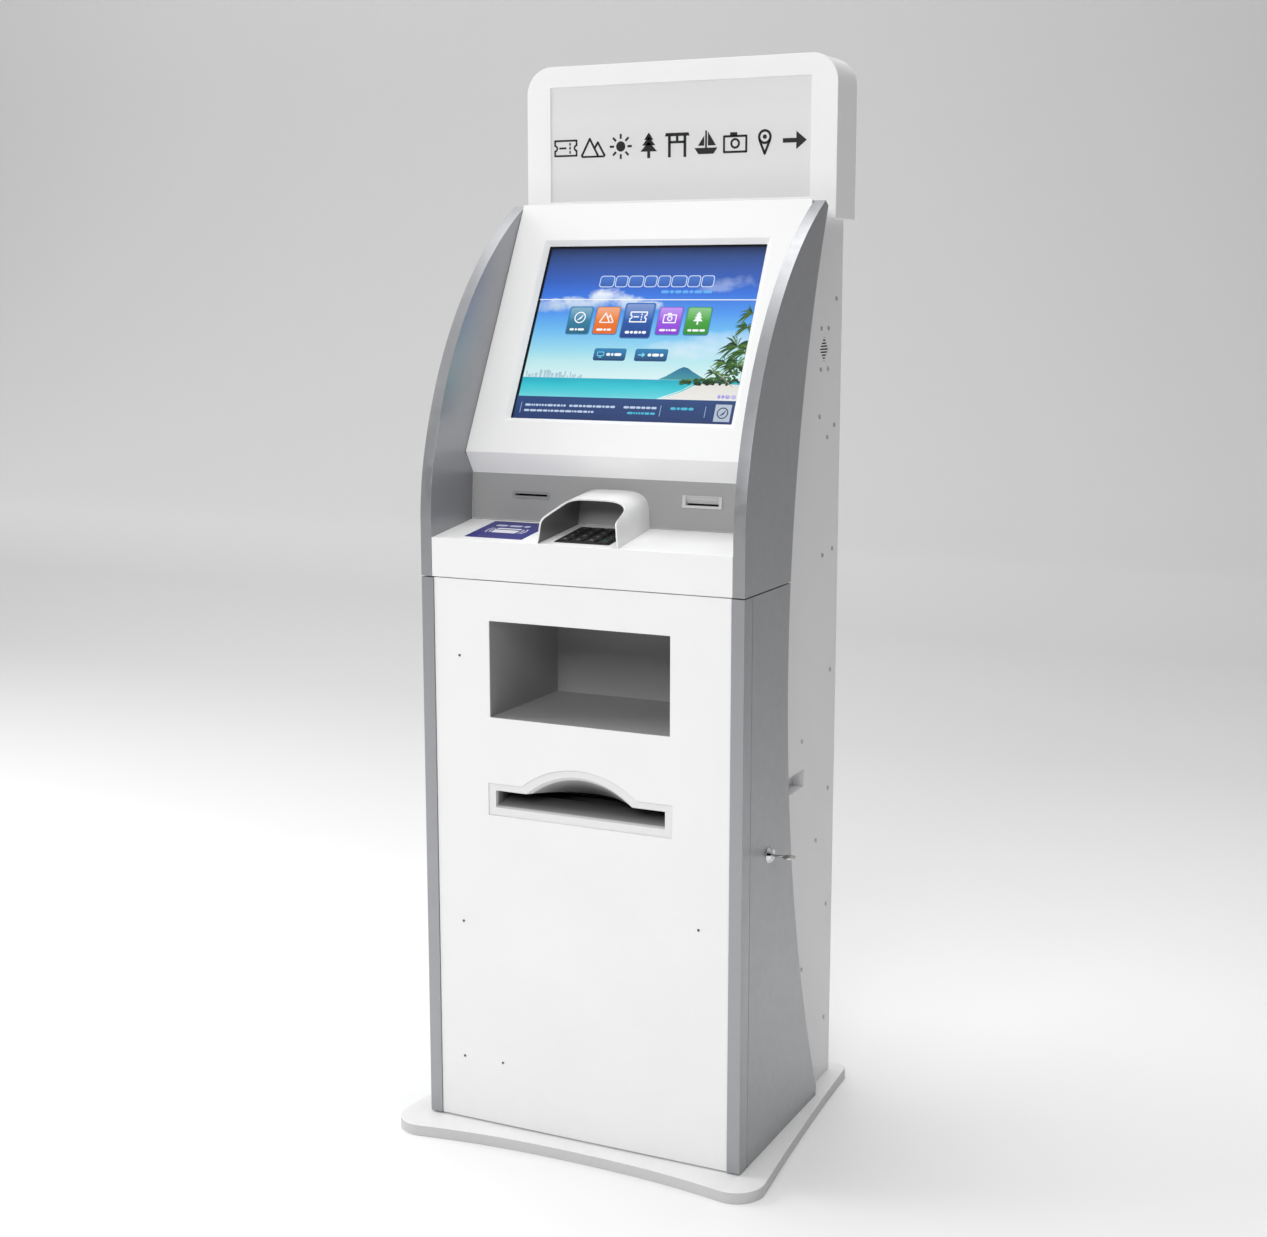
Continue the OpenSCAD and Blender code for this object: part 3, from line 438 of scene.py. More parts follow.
def artwork(name, plane, shapes, material, body, base=0.0, step=0.00012):
    """Thin closed plates on a plane. A shape is (level, loop, low colour, high colour) in millimetres."""
    bm = bmesh.new()
    ink = bm.loops.layers.float_color.new("ink")
    for level, loop, low, high in shapes:
        bottom = base + (level - 0.25) * step if level else base
        y0 = min(y for _, y in loop)
        span = max(max(y for _, y in loop) - y0, 1e-6)
        made, lower, upper = prism(bm, plane, loop, bottom, base + (level + 1) * step)
        tints = [blend_colours(low, high, (y - y0) / span) for _, y in loop]
        tint_of = {v: tints[i] for side in (lower, upper) for i, v in enumerate(side)}
        for face in made:
            for corner in face.loops:
                corner[ink] = tint_of[corner.vert]
    return new_piece(name, finish_mesh(name, bm), material, body)


def word_bars(x0, x1, y0, y1, colour, seed, gap=1.2, unit=3.0, level=0):
    """A line of plain rounded bars where the real thing has writing."""
    rng = random.Random(seed)
    shapes = []
    x = x0
    while x < x1 - unit:
        width = min(x1 - x, unit * rng.uniform(0.8, 3.4))
        radius = min((y1 - y0) / 2, width / 2) * 0.98
        shapes.append((level, rounded(x, y0, x + width, y1, radius, 3), colour, colour))
        x += width + gap
    return shapes


# ---------- materials for the CAD nodes, by material slot ----------

WHITE = srgb(246, 246, 246)
SILVER = srgb(168, 169, 172)
# painted shade: white faces that face forward at the niche wall's height take a grey tone for the shade under the
# screen's chin
NICHE_WALL_SHADE = ((0.0, -1.0, 0.066), (0.97, 0.99), (0.9735, 1.0472), srgb(164, 164, 164))
# painted shade: the base plate's upright edge faces take a grey tone
BASE_RIM_SHADE = ((0.0, 0.0, 1.0), (0.6, 0.2), (-1.0, 1.0), srgb(206, 206, 206))
FINISHES = {
    "white_paint": lambda n: powder_coat(n, WHITE, 0.40, 0.10, shade_patch=NICHE_WALL_SHADE),
    "cabinet_paint": lambda n: powder_coat(n, srgb(238, 238, 239), 0.45, 0.14),
    "base_paint": lambda n: powder_coat(n, WHITE, 0.45, 0.14, 0.12, BASE_RIM_SHADE),
    "silver_paint": lambda n: metallic_paint(n, SILVER),
    "bin_paint": lambda n: powder_coat(n, srgb(168, 168, 168), 0.6, 0.3),
    "touch_glass": clear_glass,
    "dark_steel": lambda n: powder_coat(n, srgb(58, 58, 61), 0.5, 0.25),
    "black_plastic": lambda n: plastic(n, srgb(38, 38, 40), 0.5),
    "grey_plastic": lambda n: plastic(n, srgb(132, 133, 135), 0.45),
    "pale_plastic": lambda n: plastic(n, srgb(232, 232, 232), 0.45, 0.15),
    # the hood's inside is painted dark grey for the shade within it
    "hood_plastic": lambda n: plastic(n, srgb(245, 245, 245), 0.32, 0.06, inner_shade=srgb(96, 96, 97)),
    "key_plastic": lambda n: plastic(n, srgb(30, 30, 32), 0.42, 0.2),
    "label_vinyl": lambda n: plastic(n, srgb(38, 38, 132), 0.30, 0.05),
    "sign_acrylic": lambda n: satin_acrylic(n, srgb(228, 228, 228)),
    "lamp": lambda n: plastic(n, srgb(250, 248, 238), 0.5, 0.05),
    "steel": lambda n: brushed_metal(n, srgb(190, 190, 192)),
    "key_steel": lambda n: polished_metal(n, srgb(205, 204, 200), 0.14),
    "chrome": lambda n: polished_metal(n, srgb(225, 226, 228), 0.06),
    "zinc": lambda n: brushed_metal(n, srgb(186, 189, 192), 0.32),
    "rubber": lambda n: rubber(n, srgb(34, 34, 34)),
    "paper": lambda n: wound_paper(n, srgb(240, 238, 232)),
}

screen = Plane("lcd_panel", (0.0, -0.89, 0.456))


def display_material(name):
    """The lit picture behind the glass: sky, clouds, sea and beach, with the panel's black rim."""
    g = Graph(name)
    up = g.fit(g.along(screen.at(0, VIEW_S0), screen.s), 0.0, VIEW_H)
    across = g.fit(g.axis(0), -VIEW_W / 2, VIEW_W / 2)
    sky = g.ramp(up, [
        (0.24, srgb(214, 238, 240)), (0.345, srgb(181, 228, 234)), (0.40, srgb(152, 215, 235)),
        (0.506, srgb(108, 187, 238)), (0.613, srgb(76, 150, 236)), (0.727, srgb(48, 112, 218)),
        (0.80, srgb(40, 92, 188)), (0.881, srgb(40, 79, 158)), (0.94, srgb(32, 68, 132)), (1.0, srgb(18, 36, 78)),
    ])
    puffs = g.noise(26.0, 8.0, g.stretched(1.0, 1.3, 1.3), 0.6)

    def billow(blobs, low, high):
        """Cloud cover from ellipses (across, up, half width, half height), broken up by noise."""
        cover = None
        for x, y, rx, ry in blobs:
            dx = g.math("DIVIDE", g.math("SUBTRACT", across, x), rx)
            dy = g.math("DIVIDE", g.math("SUBTRACT", up, y), ry)
            body = g.math("SUBTRACT", 1.0, g.math("ADD", g.math("MULTIPLY", dx, dx), g.math("MULTIPLY", dy, dy)))
            cover = body if cover is None else g.math("MAXIMUM", cover, body)
        rough = g.math("ADD", cover, g.math("MULTIPLY", g.math("SUBTRACT", puffs, 0.5), 3.2))
        return g.fit(rough, low, high)

    cumulus = billow([(0.06, 0.655, 0.10, 0.045), (0.19, 0.675, 0.09, 0.050), (0.30, 0.705, 0.10, 0.070),
                      (0.40, 0.680, 0.10, 0.050), (0.50, 0.655, 0.10, 0.035)], 0.1, 0.9)
    distant = g.math("MULTIPLY", billow([(0.90, 0.79, 0.12, 0.05), (0.82, 0.76, 0.10, 0.03)], 0.1, 1.1), 0.28)
    mist = g.math("MULTIPLY", billow([(0.80, 0.41, 0.22, 0.05), (0.90, 0.45, 0.14, 0.06)], -0.6, 1.4), 0.75)
    lit = g.mix(g.fit(up, 0.62, 0.74), srgb(150, 184, 226), srgb(236, 243, 252))
    sky = g.mix(cumulus, sky, lit)
    sky = g.mix(g.math("MAXIMUM", distant, mist), sky, srgb(222, 236, 246))
    ripple = g.noise(60.0, 3.0, g.stretched(0.25, 1.0, 1.0))
    depth = g.math("ADD", up, g.math("MULTIPLY", g.math("SUBTRACT", ripple, 0.5), 0.03))
    sea = g.ramp(depth, [
        (0.13, srgb(112, 210, 220)), (0.16, srgb(80, 202, 214)), (0.20, srgb(44, 192, 206)), (0.235, srgb(24, 172, 194)),
    ])
    picture = g.mix(g.fit(up, 0.240, 0.2425), sea, sky)
    rim = g.math("MAXIMUM", g.fit(across, 0.994, 0.996), g.fit(across, 0.006, 0.004))
    rim = g.math("MAXIMUM", rim, g.math("MAXIMUM", g.fit(up, 0.994, 0.996), g.fit(up, 0.006, 0.004)))
    picture = g.mix(rim, picture, srgb(14, 16, 22))
    pixels = g.noise(3000.0, 1.0)
    picture = g.mix(g.fit(pixels, 0.3, 0.7, 0.0, 0.05), picture, (0.0, 0.0, 0.0, 1.0))
    picture = g.mix(g.facing(screen.n, 0.5, 0.9), srgb(12, 12, 14), picture)
    g.set(Base_Color=g.mix(0.8, picture, (0.0, 0.0, 0.0, 1.0)))
    g.set(Emission_Color=picture, Emission_Strength=SCREEN_LIGHT, Roughness=0.5)
    return g.mat


VIEW_W = 375 * MM
VIEW_H = 299 * MM
SCREEN_LIGHT = 0.85
glass_face = Plane("touch_glass", (0.0, -0.89, 0.456))
VIEW_S0 = (glass_face.at(0, glass_face.height / 2) - screen.origin).dot(screen.s) - VIEW_H / 2


materials = {slot: make(slot) for slot, make in FINISHES.items()}
materials["display"] = display_material("display")
materials["screw_steel"] = polished_metal("screw_steel", srgb(96, 96, 98), 0.3)
# painted shade: the card bezel takes the grey of the shaded niche wall
materials["niche_shade_plastic"] = plastic("niche_shade_plastic", srgb(150, 150, 150), 0.45, 0.15)
materials["rim_plastic"] = plastic("rim_plastic", srgb(206, 206, 206), 0.45, 0.15)
materials["cable_jacket"] = plastic("cable_jacket", srgb(28, 28, 30), 0.5, 0.1)
# the outlet bezel carries painted shade inside its mouth
materials["outlet_shaded_plastic"] = mouth_shaded_plastic("outlet_shaded_plastic", srgb(236, 236, 236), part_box("outlet_bezel")[0].y)
OWN_FINISH = {
    "outlet_bezel": "outlet_shaded_plastic",
    "card_bezel": "niche_shade_plastic",
    "receipt_bezel": "rim_plastic",
}
for part in RECORD["subparts"]:
    cad = NODES[part["node"]]
    cad.data.materials.clear()
    cad.data.materials.append(materials[OWN_FINISH.get(part["node"], part["material_slot"])])

EDGE_RADIUS = {
    "base_plate": 1.0, "cabinet_shell": 0.4, "side_panel_lower_left": 0.9, "side_panel_lower_right": 0.9,
    "side_panel_upper_left": 0.6, "side_panel_upper_right": 0.6, "screen_panel": 0.9, "desk_panel": 0.9,
    "sign_box": 0.9, "door_panel": 0.7, "door_strips": 1.0, "pickup_bin": 0.6, "card_bezel": 0.5,
    "rear_door": 0.6, "front_lock_barrel": 0.5, "computer": 1.0, "power_supply": 0.8, "ticket_printer": 0.8,
    "reader_label": 0.15,
}
KEY_EDGE = 0.4
OTHER_EDGE = 0.3
PLAIN = ("fan_frame", "fan_rotor")
WELD = 0.01


def smooth_group():
    """A node group that marks every face smooth."""
    group = bpy.data.node_groups.new("smooth", "GeometryNodeTree")
    group.interface.new_socket("Geometry", in_out="INPUT", socket_type="NodeSocketGeometry")
    group.interface.new_socket("Geometry", in_out="OUTPUT", socket_type="NodeSocketGeometry")
    start = group.nodes.new("NodeGroupInput")
    smooth = group.nodes.new("GeometryNodeSetShadeSmooth")
    end = group.nodes.new("NodeGroupOutput")
    group.links.new(start.outputs[0], smooth.inputs["Geometry"])
    group.links.new(smooth.outputs[0], end.inputs[0])
    return group


SMOOTH = smooth_group()


def soften(node):
    """Rounds a CAD node's sharp edges with modifiers, which leave its mesh alone."""
    if node in PLAIN:
        return
    obj = NODES[node]
    radius = EDGE_RADIUS.get(node, KEY_EDGE if node.startswith("key_") else OTHER_EDGE)
    weld = obj.modifiers.new("weld", "WELD")
    weld.merge_threshold = WELD * MM
    bevel = obj.modifiers.new("edge", "BEVEL")
    bevel.width = radius * MM
    bevel.segments = 2
    bevel.limit_method = "ANGLE"
    bevel.angle_limit = math.radians(35)
    bevel.use_clamp_overlap = False
    bevel.loop_slide = False
    obj.modifiers.new("smooth", "NODES").node_group = SMOOTH
    normals = obj.modifiers.new("normals", "WEIGHTED_NORMAL")
    normals.mode = "FACE_AREA"
    normals.weight = 50
    normals.keep_sharp = False


# ---------- generic pictograms, in a box from -50 to 50 ----------

def stroke(points, width):
    """A line through points, with round joints."""
    loops = [bar(*a, *b, width) for a, b in zip(points, points[1:])]
    return loops + [disc(x, y, width / 2, 12) for x, y in points]


def rays(count, r0, r1, width, start=0.0):
    loops = []
    for i in range(count):
        a = math.radians(start + 360 * i / count)
        loops.append(bar(r0 * math.cos(a), r0 * math.sin(a), r1 * math.cos(a), r1 * math.sin(a), width))
    return loops


PICTOGRAMS = {
    "ticket": (
        stroke([(-46, 10), (-46, 28), (46, 28), (46, 10)], 7) + stroke([(-46, -10), (-46, -28), (46, -28), (46, -10)], 7)
        + [arc_band(-47, 0, 10, 7, -90, 90), arc_band(47, 0, 10, 7, 90, 270)]
        + [rect(15, -20, 21, -10), rect(15, -5, 21, 5), rect(15, 10, 21, 20), rect(-28, -3, 2, 4)]
    ),
    "peaks": stroke([(-48, -30), (-14, 32), (20, -30)], 8) + stroke([(6, -4), (20, 18), (48, -30)], 8) + [
        bar(-48, -34, 48, -34, 7)],
    "sun": [disc(0, 0, 19)] + rays(8, 28, 46, 8),
    "pine": [
        [(-34, -22), (34, -22), (0, 14)], [(-27, 0), (27, 0), (0, 32)], [(-19, 20), (19, 20), (0, 47)],
        rect(-6, -46, 6, -21)],
    "gate": [
        rect(-37, -46, -26, 34), rect(26, -46, 37, 34), rect(-31, 4, 31, 13),
        [(-50, 30), (50, 30), (46, 42), (-46, 42)], rect(-5, 12, 5, 31)],
    "boat": [
        [(-46, -16), (46, -16), (30, -38), (-30, -38)], rect(-3, -17, 4, 46), [(8, -8), (40, -8), (8, 42)],
        [(-7, -8), (-32, -8), (-7, 28)]],
    "camera": ring(0, -4, 15, 8) + stroke([(-44, 22), (-44, -34), (44, -34), (44, 22), (-44, 22)], 8) + [
        rect(-20, 22, 8, 36)],
    "pin": ring(0, 16, 22, 9) + stroke([(-20, 4), (0, -44), (20, 4)], 9) + [disc(0, 16, 8)],
    "arrow": [[(-46, -8), (6, -8), (6, -32), (46, 0), (6, 32), (6, 8), (-46, 8)]],
    "compass": ring(0, 0, 38, 8) + [[(-10, -10), (24, 24), (10, -10)], [(-10, -10), (-24, -24), (10, -10)]],
    "monitor": stroke([(-42, 30), (-42, -18), (42, -18), (42, 30), (-42, 30)], 8) + [
        rect(-5, -34, 5, -18), rect(-22, -42, 22, -34)],
}


def pictogram(name, x, y, size, colour, level):
    scale = size / 100
    return [(level, moved(loop, x, y, scale), colour, colour) for loop in PICTOGRAMS[name]]


# ---------- the picture on the screen ----------

def plain(level, loop, colour):
    return [(level, loop, colour, colour)]


def shaded(level, loop, low, high):
    return [(level, loop, low, high)]


def frond(cx, cy, reach, angle, droop, width):
    """A curved palm leaf from its root to its tip."""
    a = math.radians(angle)
    upper, lower = [], []
    for i in range(8):
        t = i / 7
        x = cx + reach * t * math.cos(a)
        y = cy + reach * t * math.sin(a) - droop * t * t
        w = width * math.sin(math.pi * min(1.0, 0.12 + t * 0.9)) * 0.5
        upper.append((x, y + w))
        lower.append((x, y - w * 0.6))
    return upper + lower[::-1]


def kept_in(loop, x0, y0, x1, y1):
    return [(min(max(x, x0), x1), min(max(y, y0), y1)) for x, y in loop]


def palm(cx, cy, size, seed, level):
    """A crown of leaves, dark behind and lit in front, clipped to the picture."""
    rng = random.Random(seed)
    greens = [srgb(24, 54, 32), srgb(42, 84, 42), srgb(72, 118, 56), srgb(116, 152, 76)]
    shapes = []
    for i in range(26):
        angle = -35 + 250 * rng.random()
        tone = greens[min(3, i // 7)]
        leaf = frond(cx, cy, size * rng.uniform(0.6, 1.0), angle, size * rng.uniform(0.25, 0.6), size * 0.14)
        shapes += shaded(level, kept_in(leaf, *PICTURE_BOX), shade(tone, 0.7), tone)
    return shapes


PICTURE_BOX = (-187.0, 40.0, 186.6, 297.0)
WHITE_INK = srgb(244, 248, 252)
TILES = [
    ("compass", -127.2, 148.4, -88.0, 194.6, srgb(16, 98, 126), srgb(52, 142, 182)),
    ("peaks", -80.0, 148.4, -39.6, 194.6, srgb(226, 98, 10), srgb(238, 136, 48)),
    ("ticket", -30.8, 142.4, 19.2, 201.0, srgb(6, 56, 136), srgb(38, 104, 190)),
    ("camera", 28.8, 148.4, 68.0, 194.6, srgb(132, 52, 208), srgb(170, 98, 232)),
    ("pine", 76.4, 148.4, 116.4, 194.6, srgb(36, 136, 32), srgb(78, 178, 66)),
]
BUTTONS = [("monitor", -68.4), ("arrow", 2.8)]


def tile_shapes():
    shapes = []
    for icon, x0, y0, x1, y1, low, high in TILES:
        wide = x1 - x0
        tall = y1 - y0
        shapes += plain(0, rounded(x0 - 1.4, y0 - 1.8, x1 + 1.4, y1 + 1.0, 4.4), srgb(60, 120, 176))
        shapes += shaded(1, rounded(x0, y0, x1, y1, 3.6), low, high)
        shapes += shaded(2, rounded(x0 + 1.6, y0 + tall * 0.52, x1 - 1.6, y1 - 1.4, 2.8), blend_colours(low, high, 0.75),
                         blend_colours(high, WHITE_INK, 0.22))
        shapes += pictogram(icon, (x0 + x1) / 2, y0 + tall * 0.60, wide * 0.60, WHITE_INK, 3)
        bars = word_bars(x0 + wide * 0.14, x1 - wide * 0.12, y0 + tall * 0.11, y0 + tall * 0.19, WHITE_INK, icon, 1.2, 3.4, 3)
        shapes += bars
    return shapes


def button_shapes():
    shapes = []
    for icon, x0 in BUTTONS:
        x1 = x0 + 53.6
        shapes += plain(0, rounded(x0 - 1, 102.4, x1 + 1, 123.4, 3.6), srgb(30, 92, 140))
        shapes += shaded(1, rounded(x0, 103.4, x1, 122.6, 3), srgb(16, 62, 108), srgb(30, 130, 184))
        shapes += pictogram(icon, x0 + 11, 113, 13, srgb(126, 214, 236), 2)
        shapes += word_bars(x0 + 21, x1 - 4, 110.6, 115.4, WHITE_INK, icon + "row", 1.4, 4.2, 2)
    return shapes


def header_shapes():
    shapes = plain(0, rect(-187.2, 206.7, 187.2, 208.2), WHITE_INK)
    x = -86.0
    rng = random.Random("title")
    while x < 108:
        wide = rng.choice((15.4, 19.8, 19.8, 24.2))
        wide = min(wide, 112.8 - x)
        shapes += plain(0, rounded(x - 0.9, 229.0, x + wide + 0.9, 249.2, 5), srgb(206, 220, 246))
        shapes += shaded(1, rounded(x + 0.5, 230.4, x + wide - 0.5, 247.8, 4), srgb(46, 92, 176), srgb(64, 116, 200))
        x += wide + 3.4
    shapes += word_bars(24, 112, 218.6, 223.6, srgb(96, 172, 240), "address", 1.6, 4.4)
    return shapes


def shore_shapes():
    rng = random.Random("skyline")
    shapes = []
    x = -181.0
    while x < -84:
        wide = rng.uniform(2.0, 5.2)
        tall = rng.uniform(3.0, 15.0) * (1.0 if x < -128 else 0.72)
        haze = srgb(176, 206, 216)
        shapes += shaded(0, rect(x, 72.4, x + wide, 72.6 + tall), haze, srgb(160, 192, 206))
        x += wide + rng.uniform(0.4, 3.6)
    hill = [(50, 72.4), (62, 78), (72, 84.5), (82, 91), (89, 94), (96, 92.4), (106, 86), (118, 79.6), (132, 72.4)]
    shapes += shaded(0, hill, srgb(60, 148, 160), srgb(28, 104, 148))
    sand = [(60, 39.8), (72, 44.5), (84, 49), (96, 54), (106, 60), (118, 66.5), (134, 68.4), (186.6, 66), (186.6, 39.8)]
    shapes += shaded(0, sand, srgb(232, 230, 226), srgb(222, 220, 214))
    foam = [(54, 39.8), (66, 44.8), (80, 50), (93, 55.4), (104, 62), (116, 68), (112, 65.6), (99, 58), (86, 51.2), (72, 45.6), (60, 39.8)]
    shapes += plain(1, foam, srgb(226, 244, 244))
    greens = (srgb(26, 58, 34), srgb(40, 82, 42), srgb(62, 108, 54), srgb(98, 140, 74))
    for i in range(120):
        t = rng.random()
        x = 88 + 97 * t
        tall = 5 + 10 * t + 34 * max(0.0, t - 0.55)
        y = 66 + rng.uniform(0, tall)
        tone = greens[min(3, int(rng.random() * 2.2 + 1.8 * (y - 66) / tall))]
        blob = disc(x, y, rng.uniform(1.8, 4.6), 9, rng.uniform(1.4, 3.4))
        shapes += shaded(1 + i % 2, kept_in(blob, *PICTURE_BOX), shade(tone, 0.55), tone)
    shapes += plain(3, kept_in(bar(132, 96, 176, 62, 1.0), *PICTURE_BOX), srgb(168, 160, 132))
    for x, y, size, seed in ((184, 184, 26, "a"), (180, 160, 24, "e"), (170, 128, 36, "b"), (184, 118, 34, "c"),
                             (156, 100, 28, "d"), (176, 96, 34, "f"), (140, 84, 18, "g")):
        shapes += palm(x, y, size, "crown " + seed, 4)
    shapes += word_bars(154, 185, 42.6, 49.4, srgb(112, 96, 232), "notice", 1.2, 4.4)
    return shapes


def footer_shapes():
    pale = srgb(186, 204, 232)
    cyan = srgb(72, 184, 214)
    shapes = shaded(0, rect(-187.3, 0.4, 187.3, 39.6), srgb(28, 54, 106), srgb(36, 68, 122))
    for x in (-176.8, 64.8, 139.2):
        shapes += plain(1, rect(x - 0.5, 11.4, x + 0.5, 29.4), srgb(150, 176, 214))
    shapes += word_bars(-170, -98, 22.8, 26.6, pale, "row a", 1.0, 3.0, 1)
    shapes += word_bars(-92, -10, 22.8, 26.6, pale, "row b", 1.0, 3.0, 1)
    shapes += word_bars(2, 58, 22.8, 26.6, pale, "row c", 1.0, 3.0, 1)
    shapes += word_bars(-170, -44, 13.6, 17.2, pale, "row d", 1.0, 3.4, 1)
    shapes += word_bars(10, 58, 13.6, 17.2, cyan, "row e", 1.0, 3.0, 1)
    shapes += word_bars(81, 123, 22.6, 26.8, cyan, "row f", 1.4, 4.0, 1)
    shapes += plain(1, rect(154.8, 5.4, 181.2, 33.4), srgb(178, 190, 206))
    shapes += pictogram("compass", 168, 19.4, 22, srgb(34, 58, 104), 2)
    return shapes


def add_screen_picture():
    view = Frame(screen.at(0, VIEW_S0), screen.x, screen.s)
    ink = printed("screen_ink", SCREEN_LIGHT, 0.5)
    for name, shapes in (
        ("screen_header", header_shapes()), ("screen_shore", shore_shapes()), ("screen_tiles", tile_shapes()),
        ("screen_buttons", button_shapes()), ("screen_footer", footer_shapes()),
    ):
        artwork(name, view, shapes, ink, "cabinet", 0.00002)


# ---------- sign, label and key legends ----------

SIGN_ROW = ("ticket", "peaks", "sun", "pine", "gate", "boat", "camera", "pin", "arrow")
SIGN_PITCH = 50.0
SIGN_SIZE = 43.0


def add_sign_pictograms():
    face = Plane("sign_face", (0, -1, 0))
    black = srgb(16, 16, 17)
    mid = face.height / MM * 0.475
    shapes = []
    for i, name in enumerate(SIGN_ROW):
        shapes += pictogram(name, (i - 4) * SIGN_PITCH, mid, SIGN_SIZE, black, 0)
    artwork("sign_pictograms", face, shapes, printed("sign_ink", 0.0, 0.5), "cabinet", 0.0, 0.0003)


def add_label_print():
    face = Plane("reader_label", (0, -0.13, 0.99))
    low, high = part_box("reader_label")
    mid = (low.x + high.x) / 2 / MM
    white = srgb(238, 240, 248)
    shapes = plain(0, rounded(mid - 22, 31, mid + 21, 58, 3.5), white)
    shapes += plain(1, rect(mid - 22, 48, mid + 21, 52), srgb(60, 62, 140))
    for side in (-1, 1):
        for r in (27, 33):
            turn = 0 if side > 0 else 180
            shapes += plain(0, arc_band(mid, 44, r, 1.9, turn - 24, turn + 24, 12), white)
    shapes += word_bars(mid - 34, mid + 35, 68, 78, srgb(206, 210, 236), "label", 3.0, 7.0)
    artwork("label_print", face, shapes, printed("label_ink"), "cabinet", 0.0, 0.0001)


SEGMENTS = {
    "0": "abcdef", "1": "bc", "2": "abged", "3": "abgcd", "4": "fgbc", "5": "afgcd", "6": "afgedc", "7": "abc",
    "8": "abcdefg", "9": "abcdfg",
}
SEGMENT_ENDS = {
    "a": (-1, 2, 1, 2), "b": (1, 2, 1, 0), "c": (1, 0, 1, -2), "d": (-1, -2, 1, -2), "e": (-1, 0, -1, -2),
    "f": (-1, 2, -1, 0), "g": (-1, 0, 1, 0),
}


def legend_loops(label):
    if label in SEGMENTS:
        ends = [SEGMENT_ENDS[k] for k in SEGMENTS[label]]
        return [loop for x0, y0, x1, y1 in ends for loop in stroke([(x0 * 1.3, y0 * 1.35), (x1 * 1.3, y1 * 1.35)], 0.8)]
    return {
        "cancel": stroke([(-2.2, -2.2), (2.2, 2.2)], 1.0) + stroke([(-2.2, 2.2), (2.2, -2.2)], 1.0),
        "clear": stroke([(1.6, -2.6), (-1.6, 0), (1.6, 2.6)], 1.0),
        "help": [disc(0, -2.4, 0.7, 12), bar(0, -1.0, 0, 2.8, 1.0)],
        "enter": ring(0, 0, 2.2, 1.0),
        "left": [[(-3, 0), (1.6, 2.6), (1.6, -2.6)]],
        "right": [[(3, 0), (-1.6, -2.6), (-1.6, 2.6)]],
    }[label]


LEGEND_TINT = {"cancel": srgb(150, 58, 50), "clear": srgb(156, 134, 56), "enter": srgb(62, 124, 72)}


def add_key_legends():
    ink = printed("key_ink")
    for node in [n for n in NODES if n.startswith("key_")]:
        label = node[len("key_"):]
        top = Plane(node, (0, -0.13, 0.99))
        low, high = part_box(node)
        x, s = (low.x + high.x) / 2 / MM, top.height / MM / 2
        tint = LEGEND_TINT.get(label, srgb(146, 148, 150))
        shapes = [(0, moved(loop, x, s, 1.25), tint, tint) for loop in legend_loops(label)]
        artwork("legend_" + label, top, shapes, ink, node, 0.0, 0.0001)


# ---------- moulded keypad hood ----------

HOOD_RIM = [(2, 0), (6.5, 20), (9, 33), (15, 37.6), (36, 41.2), (57, 45.0), (65.5, 49.2), (68.4, 54), (69, 55.5)]
HOOD_HEIGHT = 55.5
HOOD_WALL = 2.6


def smooth_line(points, rounds):
    """Corner cutting that keeps both ends."""
    for _ in range(rounds):
        cut = [points[0]]
        for a, b in zip(points, points[1:]):
            cut.append(tuple(u * 0.75 + v * 0.25 for u, v in zip(a, b)))
            cut.append(tuple(u * 0.25 + v * 0.75 for u, v in zip(a, b)))
        points = cut + [points[-1]]
    return points


